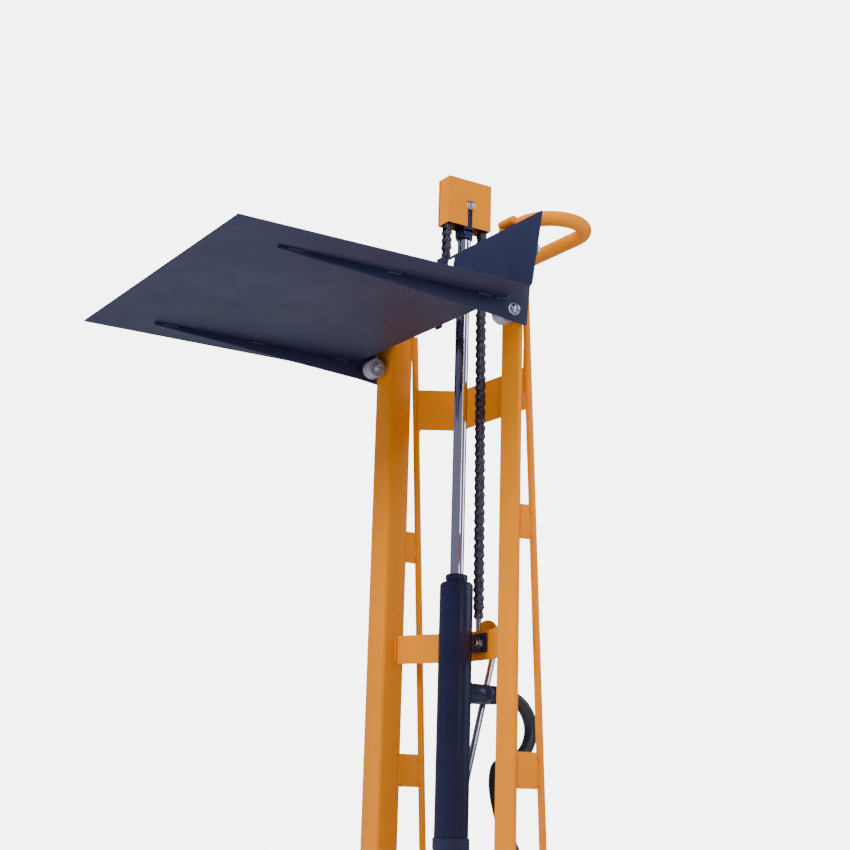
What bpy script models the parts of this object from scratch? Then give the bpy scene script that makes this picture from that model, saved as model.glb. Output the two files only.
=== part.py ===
"""Foot-pump platform lift: a hand-pushed mast truck whose ram raises a sheet-steel platform on a chain.

Units are metres, +Z is up and -Y is the load side.
The lift stands with its platform fully raised.  Sizes given as y are measured from the front face of
the mast's flanges; place() turns them into world coordinates.
"""
import math

import bmesh
import bpy
from mathutils import Matrix, Vector

# ---------------------------------------------------------------- driving dimensions
FIT = 0.0003                    # gap left between pieces that touch
LOOSE = 0.0006                  # radial clearance of a shaft in its bore

PLATFORM_WIDTH = 0.650
PLATFORM_FRONT = -0.577         # y of the platform's front edge
PLATFORM_REAR = -0.038          # y of the bend between platform and back plate
PLATFORM_TOP = 1.350
SHEET = 0.003
BACK_HEIGHT = 0.138
BACK_LEAN = 0.0205              # how far the back plate's top edge leans towards the mast
BEND_RADIUS = 0.007

UPRIGHT_INNER = 0.183           # half the clear width between the uprights
UPRIGHT_OUTER = 0.240
UPRIGHT_DEPTH = 0.045
UPRIGHT_WALL = 0.005
UPRIGHT_TOP = 1.4955
UPRIGHT_BEND = 0.008

STAY_RADIUS = 0.0065
STAY_LEAN = 0.051               # metres back for each metre down
STAY_Y_AT_PLATFORM = 0.0542
STAY_TOP = 1.400
WEB_HEIGHT = 0.060
WEB_TOPS = (1.010, 0.593, 0.199)

RAM_Y = 0.0412
ROD_RADIUS = 0.0125
CYLINDER_RADIUS = 0.030
CYLINDER_TOP = 0.892
GLAND_RADIUS = 0.020
GLAND_TOP = 0.906
CLEVIS_BOTTOM = 1.546
ROD_FOOT = 0.790

PULLEY_Z = 1.611
CHAIN_RADIUS = 0.039            # chain's pitch line round the pulley
CHAIN_HALF_HEIGHT = 0.0068
CHAIN_HALF_WIDTH = 0.0085
CHAIN_STUD_Y = 0.0905
CHAIN_STUD_TOP = 0.842
CHAIN_TAB_Y = 0.0010
CHAIN_TAB_TOP = 1.500

GUARD_HALF_WIDTH = 0.0186
GUARD_FRONT = -0.0072
GUARD_REAR = 0.0892
GUARD_BOTTOM = 1.568
GUARD_TOP = 1.661
GUARD_SHEET = 0.0015
GUARD_SEAM_X = -0.0140          # the right cover wraps most of the front, back and top
GUARD_SEAM = 0.0022

UPPER_STRAP = (1.211, 1.291)    # bottom and top
LOWER_STRAP = (0.756, 0.809)
LOWER_STRAP_Y = 0.088           # front face of its middle run
STRAP = 0.005

HANDLE_RADIUS = 0.0134
HANDLE_FRONT_Y = 0.024
HANDLE_REAR_Y = 0.147
HANDLE_BEND_X = 0.211
HANDLE_END_X = 0.158

ROLLER_RADIUS = 0.0187
ROLLER_INNER = 0.208            # x of the roller's inner end face
ROLLER_WIDTH = 0.026
ROLLER_BORE = 0.0066
PIN_RADIUS = 0.0060
LOWER_ROLLER_Z = 1.331
UPPER_ROLLER_Z = 1.452
NUT_PROUD = 0.010               # lower roller bolts end in a nut outside the side plate
LOW_HEAD_PROUD = 0.0035         # upper roller bolts end in a low head
SIDE_PLATE_X = 0.2445           # inner face of the carriage's side plates
SIDE_PLATE = 0.005

LEG_INNER = 0.268
LEG_WIDTH = 0.050
LEG_FRONT = -0.560
LEG_REAR = 0.130
LEG_BOTTOM = 0.026
LEG_TOP = 0.080
WALL = 0.005
FRONT_WHEEL_RADIUS = 0.035
FRONT_WHEEL_Y = -0.515

BEAM_FRONT = UPRIGHT_DEPTH + FIT
BEAM_REAR = 0.130
BEAM_TOP = 0.138
DECK = 0.008
DECK_REAR = 0.330
CASTER_X = 0.225
CASTER_Y = 0.270
CASTER_TRAIL = 0.030
CASTER_RADIUS = 0.050
CASTER_HEIGHT = BEAM_TOP - DECK

PEDAL_REAR = 0.430              # rearmost point of the foot pedal
PEDAL_PIVOT_Y = 0.1455
PEDAL_PIVOT_Z = 0.225
PEDAL_POST = 0.008
PEDAL_POST_X = 0.144

MAST_Y = -(PLATFORM_FRONT + PEDAL_REAR) / 2     # centres the lift's box on the world's Z axis

# colour, metallic, roughness
ORANGE = ((0.80, 0.33, 0.035), 0.0, 0.38)
BLACK = ((0.022, 0.023, 0.040), 0.0, 0.45)
CHROME = ((0.78, 0.79, 0.82), 1.0, 0.08)
ZINC = ((0.62, 0.63, 0.66), 1.0, 0.32)
CHAIN_STEEL = ((0.055, 0.052, 0.055), 0.8, 0.45)
NYLON = ((0.60, 0.60, 0.64), 0.0, 0.45)
RUBBER = ((0.030, 0.030, 0.032), 0.0, 0.75)
RED = ((0.45, 0.03, 0.02), 0.0, 0.45)

# cylinder bracket, rear lug and tie rod, as (y, z) where there are two numbers
BRACKET_BOLT_X = 0.015
BRACKET_BOLT_Z = 0.786
LUG_Y = 0.1090
TIE_ROD_X = -0.030
TIE_ROD_RADIUS = 0.0060
TIE_ROD_TOP = (0.1540, 0.809)
TIE_ROD_FOOT = (0.0677, 0.4500)

# carriage stops at the top of the mast
STOP_RADIUS = 0.0072
STOP_Y = -0.009

# hydraulics: cylinder port, hose and its drop as (x, y, z), tank and pump plunger
PORT_Z = 0.697
SOCKET_END = 0.137
HOSE_RADIUS = 0.0120
HOSE_BEND = 0.0595
HOSE_BEND_Y = 0.150
HOSE_DROP = ((0.006, 0.131, 0.566), (0.018, 0.122, 0.526), (0.028, 0.134, 0.465), (0.032, 0.163, 0.405),
             (0.032, 0.184, 0.362))
HOSE_END = (0.032, 0.188)
TANK_TOP = 0.330
TANK_FRONT = 0.165
TANK_REAR = 0.255
PLUNGER_X = 0.084
PLUNGER_Y = 0.225
PLUNGER_RADIUS = 0.009

# roller centres: one pair in front of the flanges and one behind them
LOWER_ROLLER_Y = -ROLLER_RADIUS - FIT
UPPER_ROLLER_Y = UPRIGHT_WALL + ROLLER_RADIUS + FIT


# ---------------------------------------------------------------- scene and object helpers
def clear_scene():
    for old in list(bpy.data.objects):
        bpy.data.objects.remove(old, do_unlink=True)


def make_collection(name):
    collection = bpy.data.collections.new(name)
    bpy.context.scene.collection.children.link(collection)
    return collection


clear_scene()
PARTS = make_collection("platform_lift")
CUTTERS = make_collection("cutters")


def place(x, y, z):
    """World position of a point whose y is measured from the mast's front face."""
    return Vector((x, MAST_Y + y, z))


def material(name, finish):
    colour, metallic, roughness = finish
    mat = bpy.data.materials.new(name)
    mat.use_nodes = True
    shader = mat.node_tree.nodes["Principled BSDF"]
    shader.inputs["Base Color"].default_value = (*colour, 1.0)
    shader.inputs["Metallic"].default_value = metallic
    shader.inputs["Roughness"].default_value = roughness
    return mat


def add_object(name, mesh, finish, smooth_angle=0.6):
    """Link a part; with no finish it is a cutter, kept out of the model."""
    obj = bpy.data.objects.new(name, mesh)
    if finish is None:
        CUTTERS.objects.link(obj)
        obj.hide_render = True
        obj.display_type = "WIRE"
    else:
        PARTS.objects.link(obj)
        mesh.materials.append(material(name, finish))
        mesh.shade_smooth()
        mesh.set_sharp_from_angle(angle=smooth_angle)
    return obj


def set_pivot(obj, point):
    """Move an object's origin to a world point on its joint's axis, leaving its shape where it is."""
    obj.data.transform(Matrix.Translation(-point) @ obj.matrix_world)
    obj.matrix_world = Matrix.Translation(point)
    return obj


def curve_to_mesh(name, curve, matrix, finish):
    """Turn a curve into a closed mesh with its caps welded on."""
    source = bpy.data.objects.new(name + "_curve", curve)
    bpy.context.scene.collection.objects.link(source)
    graph = bpy.context.evaluated_depsgraph_get()
    mesh = bpy.data.meshes.new_from_object(source.evaluated_get(graph))
    bpy.data.objects.remove(source)
    work = bmesh.new()
    work.from_mesh(mesh)
    bmesh.ops.remove_doubles(work, verts=work.verts, dist=1e-6)
    bmesh.ops.recalc_face_normals(work, faces=work.faces)
    work.to_mesh(mesh)
    work.free()
    mesh.transform(matrix)
    return add_object(name, mesh, finish)


def box(name, low, high, finish, bevel=0.0):
    """A box between two corners, with y measured from the mast's front face."""
    low, high = place(*low), place(*high)
    size = high - low
    work = bmesh.new()
    bmesh.ops.create_cube(work, size=1.0)
    bmesh.ops.scale(work, vec=size, verts=work.verts)
    bmesh.ops.translate(work, vec=(low + high) / 2, verts=work.verts)
    mesh = bpy.data.meshes.new(name)
    work.to_mesh(mesh)
    work.free()
    obj = add_object(name, mesh, finish)
    if bevel:
        add_bevel(obj, bevel)
    return obj


def add_bevel(obj, width, segments=2):
    modifier = obj.modifiers.new("rounded_edges", "BEVEL")
    modifier.width = width
    modifier.segments = segments
    modifier.limit_method = "ANGLE"
    modifier.harden_normals = False


def rod(name, start, end, radius, finish, sides=24, end_radius=None):
    """A round bar (or a cone) between two points."""
    start, end = place(*start), place(*end)
    along = end - start
    work = bmesh.new()
    bmesh.ops.create_cone(work, cap_ends=True, segments=sides, radius1=radius,
                          radius2=radius if end_radius is None else end_radius, depth=along.length)
    turn = Vector((0, 0, 1)).rotation_difference(along).to_matrix().to_4x4()
    work.transform(Matrix.Translation((start + end) / 2) @ turn)
    mesh = bpy.data.meshes.new(name)
    work.to_mesh(mesh)
    work.free()
    return add_object(name, mesh, finish)


# Each plane's matrix takes an outline's (u, v) and its thickness into the world.
FRONT_VIEW = Matrix(((1, 0, 0), (0, 0, -1), (0, 1, 0))).to_4x4()       # u = x, v = z, normal -y
SIDE_VIEW = Matrix(((0, 0, 1), (1, 0, 0), (0, 1, 0))).to_4x4()         # u = y, v = z, normal +x
PLAN_VIEW = Matrix.Identity(4)                                         # u = x, v = y, normal +z


def plate(name, outline, thickness, view, centre, finish, holes=()):
    """A flat outline, with any holes, given thickness; centre is the mid-plane's position."""
    curve = bpy.data.curves.new(name, "CURVE")
    curve.dimensions = "2D"
    curve.fill_mode = "BOTH"
    curve.extrude = thickness / 2
    for ring in (outline, *holes):
        spline = curve.splines.new("POLY")
        spline.points.add(len(ring) - 1)
        for point, (u, v) in zip(spline.points, ring):
            point.co = (u, v, 0.0, 1.0)
        spline.use_cyclic_u = True
    return curve_to_mesh(name, curve, Matrix.Translation(place(*centre)) @ view, finish)


def tube(name, points, radius, finish, resolution=3, closed=False):
    """A round tube along a list of points."""
    curve = bpy.data.curves.new(name, "CURVE")
    curve.dimensions = "3D"
    curve.bevel_depth = radius
    curve.bevel_resolution = resolution
    curve.use_fill_caps = True
    spline = curve.splines.new("POLY")
    spline.points.add(len(points) - 1)
    for point, position in zip(spline.points, points):
        point.co = (*place(*position), 1.0)
    spline.use_cyclic_u = closed
    return curve_to_mesh(name, curve, Matrix.Identity(4), finish)


def turned(name, profile, centre, axis, finish, steps=24):
    """A profile of (radius, height) pairs, top to bottom down its outer side, turned about an axis."""
    mesh = bpy.data.meshes.new(name)
    work = bmesh.new()
    corners = [work.verts.new((radius, 0.0, height)) for radius, height in profile]
    closed_ring = all(radius > 0 for radius, _ in profile)
    links = list(zip(corners, corners[1:]))
    if closed_ring:
        links.append((corners[-1], corners[0]))
    for first, second in links:
        work.edges.new((first, second))
    work.to_mesh(mesh)
    work.free()
    obj = add_object(name, mesh, finish)
    screw = obj.modifiers.new("turned", "SCREW")
    screw.steps = steps
    screw.render_steps = steps
    screw.use_merge_vertices = True
    screw.merge_threshold = 0.00001
    turn = Vector((0, 0, 1)).rotation_difference(Vector(axis)).to_matrix().to_4x4()
    obj.matrix_world = Matrix.Translation(place(*centre)) @ turn
    return obj


def boolean(obj, other, operation):
    modifier = obj.modifiers.new(other.name, "BOOLEAN")
    modifier.operation = operation
    modifier.solver = "EXACT"
    modifier.object = other


def cut(obj, *cutters):
    for cutter in cutters:
        boolean(obj, cutter, "DIFFERENCE")


def join(obj, *additions):
    for addition in additions:
        boolean(obj, addition, "UNION")


def arc(centre, radius, start, end, count):
    """Points along a circular arc, angles in degrees."""
    points = []
    for index in range(count + 1):
        angle = math.radians(start + (end - start) * index / count)
        points.append((centre[0] + radius * math.cos(angle), centre[1] + radius * math.sin(angle)))
    return points


def circle(centre, radius, count=24):
    return arc(centre, radius, 0, 360, count)[:-1]


def rounded_path(points, radius, count=5):
    """A polyline whose inner corners are replaced by arcs of the given radius."""
    path = [Vector(points[0])]
    for before, corner, after in zip(points, points[1:], points[2:]):
        corner = Vector(corner)
        back = (Vector(before) - corner).normalized()
        ahead = (Vector(after) - corner).normalized()
        half = back.angle(ahead) / 2
        reach = radius / math.tan(half)
        middle = corner + (back + ahead).normalized() * radius / math.sin(half)
        first = corner + back * reach - middle
        last = corner + ahead * reach - middle
        for index in range(count + 1):
            step = first.slerp(last, index / count)
            path.append(middle + step.normalized() * radius)
    path.append(Vector(points[-1]))
    return path


def smooth_path(points, count=3):
    """Catmull-Rom curve through the points after the first, which only steers its start."""
    points = [Vector(point) for point in points]
    points.append(2 * points[-1] - points[-2] + Vector((0, (points[-2] - points[-1]).y, 0)))
    path = []
    for before, first, last, after in zip(points, points[1:], points[2:], points[3:]):
        for index in range(1, count + 1):
            t = index / count
            path.append(0.5 * (2 * first + (last - before) * t
                               + (2 * before - 5 * first + 4 * last - after) * t ** 2
                               + (3 * first - before - 3 * last + after) * t ** 3))
    return path


def strip(points, thickness):
    """The outline of a bent strip whose left side (looking along it) follows the points."""
    path = [Vector(point) for point in points]
    other = []
    for index, point in enumerate(path):
        before = path[max(index - 1, 0)]
        after = path[min(index + 1, len(path) - 1)]
        first = (point - before).normalized() if index else (after - point).normalized()
        second = (after - point).normalized() if index < len(path) - 1 else first
        normal = Vector((first.y, -first.x)) + Vector((second.y, -second.x))
        normal.normalize()
        stretch = max(normal.dot(Vector((first.y, -first.x))), 0.3)
        other.append(point + normal * thickness / stretch)
    return [tuple(point) for point in path + other[::-1]]


def mirror_x(points):
    return [(-x, *rest) for x, *rest in points]


SIDES = (("left", -1), ("right", 1))


# ---------------------------------------------------------------- mast
def stay_y(z):
    return STAY_Y_AT_PLATFORM + STAY_LEAN * (PLATFORM_TOP - z)


def make_uprights():
    """Bent angle sections: the web faces inwards and the flange, which the rollers run on, outwards."""
    section = rounded_path([(UPRIGHT_INNER, UPRIGHT_DEPTH), (UPRIGHT_INNER, 0.0), (UPRIGHT_OUTER, 0.0)],
                           UPRIGHT_BEND)
    outline = strip(section[::-1], UPRIGHT_WALL)
    bottom = LEG_BOTTOM + DECK + FIT
    for side, sign in SIDES:
        shape = [(sign * x, y) for x, y in outline]
        plate("upright_" + side, shape, UPRIGHT_TOP - bottom, PLAN_VIEW,
              (0, 0, (UPRIGHT_TOP + bottom) / 2), ORANGE)


def make_rear_trusses():
    """A raking round stay behind each upright, with the web plates that tie it to the upright."""
    for side, sign in SIDES:
        x = sign * (UPRIGHT_INNER + UPRIGHT_WALL / 2)
        bottom = BEAM_TOP + 0.001
        stay = rod("rear_truss_" + side, (x, stay_y(bottom + 0.001), bottom), (x, stay_y(STAY_TOP), STAY_TOP),
                   STAY_RADIUS, ORANGE, sides=16)
        for number, top in enumerate(WEB_TOPS):
            low = top - WEB_HEIGHT
            outline = [(UPRIGHT_DEPTH + FIT, low), (stay_y(low), low), (stay_y(top), top),
                       (UPRIGHT_DEPTH + FIT, top)]
            web = plate("web_%s_%d" % (side, number), outline, UPRIGHT_WALL, SIDE_VIEW, (x, 0, 0), None)
            join(stay, web)


def make_straps():
    upper_ends = stay_y(sum(UPPER_STRAP) / 2)
    inner = UPRIGHT_INNER + UPRIGHT_WALL / 2 - STAY_RADIUS - FIT
    upper = rounded_path([(-inner, upper_ends), (-0.133, 0.130), (0.084, 0.130), (inner, upper_ends)], 0.020)
    plate("upper_strap", strip(upper, STRAP), UPPER_STRAP[1] - UPPER_STRAP[0], PLAN_VIEW,
          (0, 0, sum(UPPER_STRAP) / 2), ORANGE)

    inner = UPRIGHT_INNER - FIT
    back = LOWER_STRAP_Y + STRAP
    lower = rounded_path([(-inner, 0.034), (-0.047, back), (0.047, back), (inner, 0.034)], 0.060)
    strap = plate("lower_strap", strip(lower, STRAP), LOWER_STRAP[1] - LOWER_STRAP[0], PLAN_VIEW,
                  (0, 0, sum(LOWER_STRAP) / 2), ORANGE)
    cut(strap, rod("bracket_bolt_hole", (BRACKET_BOLT_X, 0.060, BRACKET_BOLT_Z),
                   (BRACKET_BOLT_X, 0.110, BRACKET_BOLT_Z), 0.0056, None))


def make_cylinder_bracket():
    """Black plate that ties the cylinder to the lower strap, and the bolt and nut that hold it."""
    rear = LOWER_STRAP_Y - FIT
    front = rear - 0.004
    bracket = box("cylinder_bracket", (-0.016, front, 0.769), (0.034, rear, 0.803), BLACK, 0.0008)
    cut(bracket, rod("bracket_hole", (BRACKET_BOLT_X, 0.060, BRACKET_BOLT_Z),
                     (BRACKET_BOLT_X, 0.110, BRACKET_BOLT_Z), 0.0056, None))
    shank_end = LOWER_STRAP_Y + STRAP + 0.012
    bolt = rod("bracket_bolt", (BRACKET_BOLT_X, front - 0.003, BRACKET_BOLT_Z),
               (BRACKET_BOLT_X, shank_end, BRACKET_BOLT_Z), 0.0050, ZINC)
    join(bolt, rod("bracket_bolt_head", (BRACKET_BOLT_X, front - 0.0065, BRACKET_BOLT_Z),
                   (BRACKET_BOLT_X, front - FIT, BRACKET_BOLT_Z), 0.0090, None, sides=6),
         rod("bracket_nut", (BRACKET_BOLT_X, LOWER_STRAP_Y + STRAP + FIT, BRACKET_BOLT_Z),
             (BRACKET_BOLT_X, LOWER_STRAP_Y + STRAP + 0.008, BRACKET_BOLT_Z), 0.0090, None, sides=6))


def make_rear_lug():
    """Round-topped bracket behind the lower strap, which holds the top of the tie rod."""
    width, top = 0.042, 0.830
    outline = [(-width, 0.770), (width, 0.770)] + arc((0, top - width), width, 0, 180, 14)
    face = plate("rear_lug", outline, 0.004, FRONT_VIEW, (0, LUG_Y, 0), ORANGE)
    for sign in (-1, 1):
        ear_x = sorted((sign * (width - 0.004), sign * width))
        ear = box("lug_ear_%d" % sign, (ear_x[0], LOWER_STRAP_Y + STRAP + FIT, 0.772),
                  (ear_x[1], LUG_Y, 0.800), None)
        join(face, ear)
    join(face, box("lug_eye", (TIE_ROD_X - 0.011, LUG_Y, 0.776), (TIE_ROD_X + 0.011, 0.164, 0.790), None))
    cut(face, rod("lug_bore", (TIE_ROD_X, *TIE_ROD_TOP), (TIE_ROD_X, *TIE_ROD_FOOT),
                  TIE_ROD_RADIUS + FIT, None))


def make_tie_rod():
    """Zinc-plated rod raking down from the rear lug to a clamp round the cylinder."""
    rod("tie_rod", (TIE_ROD_X, *TIE_ROD_TOP), (TIE_ROD_X, *TIE_ROD_FOOT), TIE_ROD_RADIUS, ZINC, sides=16)
    clamp_top = TIE_ROD_FOOT[1] - 0.002
    outer = CYLINDER_RADIUS + 0.0025
    inner = CYLINDER_RADIUS + FIT
    clamp = turned("cylinder_clamp", [(inner, clamp_top), (outer, clamp_top), (outer, clamp_top - 0.020),
                                      (inner, clamp_top - 0.020)], (0, RAM_Y, 0), (0, 0, 1), BLACK, steps=40)
    join(clamp, box("clamp_ear", (TIE_ROD_X - 0.010, RAM_Y + 0.015, clamp_top - 0.019),
                    (TIE_ROD_X + 0.0025, RAM_Y + 0.040, clamp_top - 0.001), None))
    cut(clamp, rod("clamp_bore", (0, RAM_Y, clamp_top - 0.030), (0, RAM_Y, clamp_top + 0.010),
                   inner, None, sides=40))


def make_chain_stud():
    """Zinc stud, forked for the chain's last link, standing on the lower strap."""
    foot = LOWER_STRAP[1] + FIT
    rod("chain_stud", (0, CHAIN_STUD_Y, foot), (0, CHAIN_STUD_Y, CHAIN_STUD_TOP - FIT), 0.0042, ZINC,
        sides=16)


def handle_points():
    """Racetrack tube: front ends on the uprights, a half circle each side, one bar across the back."""
    radius = (HANDLE_REAR_Y - HANDLE_FRONT_Y) / 2
    middle = (HANDLE_FRONT_Y + HANDLE_REAR_Y) / 2
    right = [(HANDLE_END_X, HANDLE_FRONT_Y)]
    right += arc((HANDLE_BEND_X, middle), radius, -90, 90, 16)
    plan = right + mirror_x(right[::-1])
    height = UPRIGHT_TOP + FIT + HANDLE_RADIUS
    return [(x, y, height) for x, y in plan]


def make_handle():
    tube("push_handle", handle_points(), HANDLE_RADIUS, ORANGE, resolution=4)


def make_carriage_stops():
    """A short round bar on top of each flange, which keeps the rollers from running off the mast."""
    height = UPRIGHT_TOP + FIT + STOP_RADIUS
    inner, outer = UPRIGHT_INNER + 0.009, UPRIGHT_OUTER - 0.006
    for side, sign in SIDES:
        rod("carriage_stop_" + side, (sign * inner, STOP_Y, height), (sign * outer, STOP_Y, height),
            STOP_RADIUS, ORANGE, sides=20)


# ---------------------------------------------------------------- base
def make_base():
    base_low = LEG_BOTTOM
    box("base_plate", (-LEG_INNER + FIT, -0.004, base_low), (LEG_INNER - FIT, BEAM_REAR, base_low + DECK),
        ORANGE)
    inner = LEG_INNER - FIT
    floor = base_low + DECK + FIT
    section = strip([(BEAM_FRONT, floor), (BEAM_FRONT, BEAM_TOP),
                     (BEAM_REAR, BEAM_TOP), (BEAM_REAR, floor)], WALL)
    beam = plate("cross_beam", section, 2 * inner, SIDE_VIEW, (0, 0, 0), ORANGE)
    join(beam, box("cylinder_seat", (-0.060, 0.008, BEAM_TOP - DECK),
                   (0.060, BEAM_FRONT + 0.002, BEAM_TOP), None))
    for side, sign in SIDES:
        make_leg(side, sign)
    outline = [(-0.290, BEAM_REAR + FIT), (0.290, BEAM_REAR + FIT)]
    outline += arc((0.260, DECK_REAR - 0.030), 0.030, 0, 90, 5)
    outline += arc((-0.260, DECK_REAR - 0.030), 0.030, 90, 180, 5)
    holes = [circle((sign * CASTER_X, CASTER_Y), 0.0090) for _, sign in SIDES]
    deck = plate("rear_deck", outline, DECK, PLAN_VIEW, (0, 0, BEAM_TOP - DECK / 2), ORANGE, holes)
    for side, sign in SIDES:
        y, z = PEDAL_PIVOT_Y, PEDAL_PIVOT_Z
        foot = BEAM_TOP - DECK / 2
        post = [(y - 0.014, foot), (y + 0.014, foot)] + arc((y, z), 0.016, 0, 180, 8)
        join(deck, plate("pedal_post_" + side, post, PEDAL_POST, SIDE_VIEW,
                         (sign * PEDAL_POST_X, 0, 0), None, [circle((y, z), 0.0086)]))


def make_leg(side, sign):
    """Front leg: a channel open underneath, in whose front end the load wheel turns."""
    outer = LEG_INNER + LEG_WIDTH
    mid = LEG_INNER + LEG_WIDTH / 2
    section = strip([(LEG_INNER, LEG_BOTTOM), (LEG_INNER, LEG_TOP),
                     (outer, LEG_TOP), (outer, LEG_BOTTOM)], WALL)
    section = [(sign * x, z) for x, z in section]
    length = LEG_REAR - LEG_FRONT
    leg = plate("leg_" + side, section, length, FRONT_VIEW, (0, (LEG_FRONT + LEG_REAR) / 2, 0), ORANGE)
    cut(leg, rod("axle_hole_" + side, (sign * (LEG_INNER - 0.01), FRONT_WHEEL_Y, FRONT_WHEEL_RADIUS),
                 (sign * (outer + 0.01), FRONT_WHEEL_Y, FRONT_WHEEL_RADIUS), 0.0065, None))
    axle = rod("front_axle_" + side, (sign * (LEG_INNER - 0.006), FRONT_WHEEL_Y, FRONT_WHEEL_RADIUS),
               (sign * (outer + 0.006), FRONT_WHEEL_Y, FRONT_WHEEL_RADIUS), 0.0060, ZINC, sides=16)
    for end, reach in (("inner", (LEG_INNER - 0.006, LEG_INNER - FIT)),
                       ("outer", (outer + FIT, outer + 0.006))):
        join(axle, rod("axle_head_%s_%s" % (side, end), (sign * reach[0], FRONT_WHEEL_Y, FRONT_WHEEL_RADIUS),
                       (sign * reach[1], FRONT_WHEEL_Y, FRONT_WHEEL_RADIUS), 0.0105, None, sides=16))
    wheel(side, "front_wheel_" + side, (sign * mid, FRONT_WHEEL_Y, FRONT_WHEEL_RADIUS), FRONT_WHEEL_RADIUS,
          0.015, 0.0066, NYLON)


def wheel(side, name, centre, radius, half_width, bore, finish):
    """A wheel turned about X, with rounded shoulders and a hub that stands a little proud."""
    hub = half_width + 0.0015
    profile = [(bore, hub), (bore + 0.008, hub), (bore + 0.009, half_width - 0.003),
               (radius - 0.012, half_width - 0.003), (radius - 0.009, half_width),
               (radius - 0.004, half_width), (radius, half_width - 0.005)]
    profile += [(r, -h) for r, h in reversed(profile)]
    return turned(name, profile, centre, (1, 0, 0), finish)


def make_casters():
    for side, sign in SIDES:
        x = sign * CASTER_X
        top = CASTER_HEIGHT - FIT
        wheel_y = CASTER_Y + CASTER_TRAIL
        fork = turned("caster_fork_" + side,
                      [(0.0, top + DECK + 0.006), (0.0075, top + DECK + 0.006), (0.0075, top - 0.001),
                       (0.032, top - 0.001), (0.032, top - 0.012), (0.0, top - 0.012)],
                      (x, CASTER_Y, 0), (0, 0, 1), ZINC, steps=24)
        crown = box("caster_crown_" + side, (x - 0.028, CASTER_Y - 0.022, top - 0.016),
                    (x + 0.028, wheel_y + 0.016, top - 0.012 + 0.001), None)
        join(fork, crown)
        for cheek, inner in (("a", -0.028), ("b", 0.024)):
            outline = [(CASTER_Y - 0.022, top - 0.0125), (wheel_y - 0.015, CASTER_RADIUS - 0.010)]
            outline += arc((wheel_y, CASTER_RADIUS), 0.016, 240, 360, 5)
            outline += [(wheel_y + 0.016, top - 0.0125)]
            join(fork, plate("caster_cheek_%s_%s" % (cheek, side), outline, 0.004, SIDE_VIEW,
                             (x + inner + 0.002, 0, 0), None))
        join(fork, rod("caster_axle_" + side, (x - 0.034, wheel_y, CASTER_RADIUS),
                       (x + 0.034, wheel_y, CASTER_RADIUS), 0.0058, None, sides=16))
        wheel(side, "caster_wheel_" + side, (x, wheel_y, CASTER_RADIUS), CASTER_RADIUS, 0.018, 0.0066, RUBBER)


# ---------------------------------------------------------------- hydraulics
def make_cylinder():
    foot = BEAM_TOP + FIT
    inside = ROD_RADIUS + 0.006
    turned("lift_cylinder",
           [(0.0, foot + 0.012), (inside, foot + 0.012), (inside, CYLINDER_TOP),
            (CYLINDER_RADIUS - 0.004, CYLINDER_TOP), (CYLINDER_RADIUS, CYLINDER_TOP - 0.004),
            (CYLINDER_RADIUS, foot), (0.0, foot)],
           (0, RAM_Y, 0), (0, 0, 1), BLACK, steps=40)
    bore = ROD_RADIUS + LOOSE
    turned("cylinder_gland",
           [(bore, GLAND_TOP), (GLAND_RADIUS - 0.0015, GLAND_TOP), (GLAND_RADIUS, GLAND_TOP - 0.0015),
            (GLAND_RADIUS, CYLINDER_TOP + FIT), (bore, CYLINDER_TOP + FIT)],
           (0, RAM_Y, 0), (0, 0, 1), BLACK, steps=40)


def make_hose():
    """Socket on the back of the cylinder, and the hose that loops back from it and down to the pump."""
    socket = rod("hose_socket", (0, RAM_Y + 0.010, PORT_Z), (0, SOCKET_END, PORT_Z), 0.0182, BLACK, sides=32)
    cut(socket, rod("socket_saddle", (0, RAM_Y, PORT_Z - 0.05), (0, RAM_Y, PORT_Z + 0.05),
                    CYLINDER_RADIUS + FIT, None, sides=40))
    path = [(0, SOCKET_END + FIT, PORT_Z)]
    path += [(0, y, z) for y, z in arc((HOSE_BEND_Y, PORT_Z - HOSE_BEND), HOSE_BEND, 90, -90, 14)]
    path += smooth_path([path[-2], path[-1], *HOSE_DROP, (*HOSE_END, TANK_TOP + 0.001)])
    tube("hydraulic_hose", path, HOSE_RADIUS, BLACK, resolution=3)


# the hose's lower course, where it sags forward and then back to the tank


def make_pump():
    """Oil tank with the pump block beside it, on the rear deck."""
    floor = BEAM_TOP + FIT
    box("oil_tank", (-0.055, TANK_FRONT, floor), (0.055, TANK_REAR, TANK_TOP), BLACK, 0.006)
    block = box("pump_block", (0.0555, 0.188, floor), (0.112, 0.255, 0.245), BLACK, 0.002)
    cut(block, rod("plunger_bore", (PLUNGER_X, PLUNGER_Y, 0.160), (PLUNGER_X, PLUNGER_Y, 0.300),
                   PLUNGER_RADIUS + LOOSE, None))
    plunger = rod("pump_plunger", (PLUNGER_X, PLUNGER_Y, 0.185), (PLUNGER_X, PLUNGER_Y, 0.268),
                  PLUNGER_RADIUS, CHROME, sides=20)
    set_pivot(plunger, place(PLUNGER_X, PLUNGER_Y, 0.268))


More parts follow.
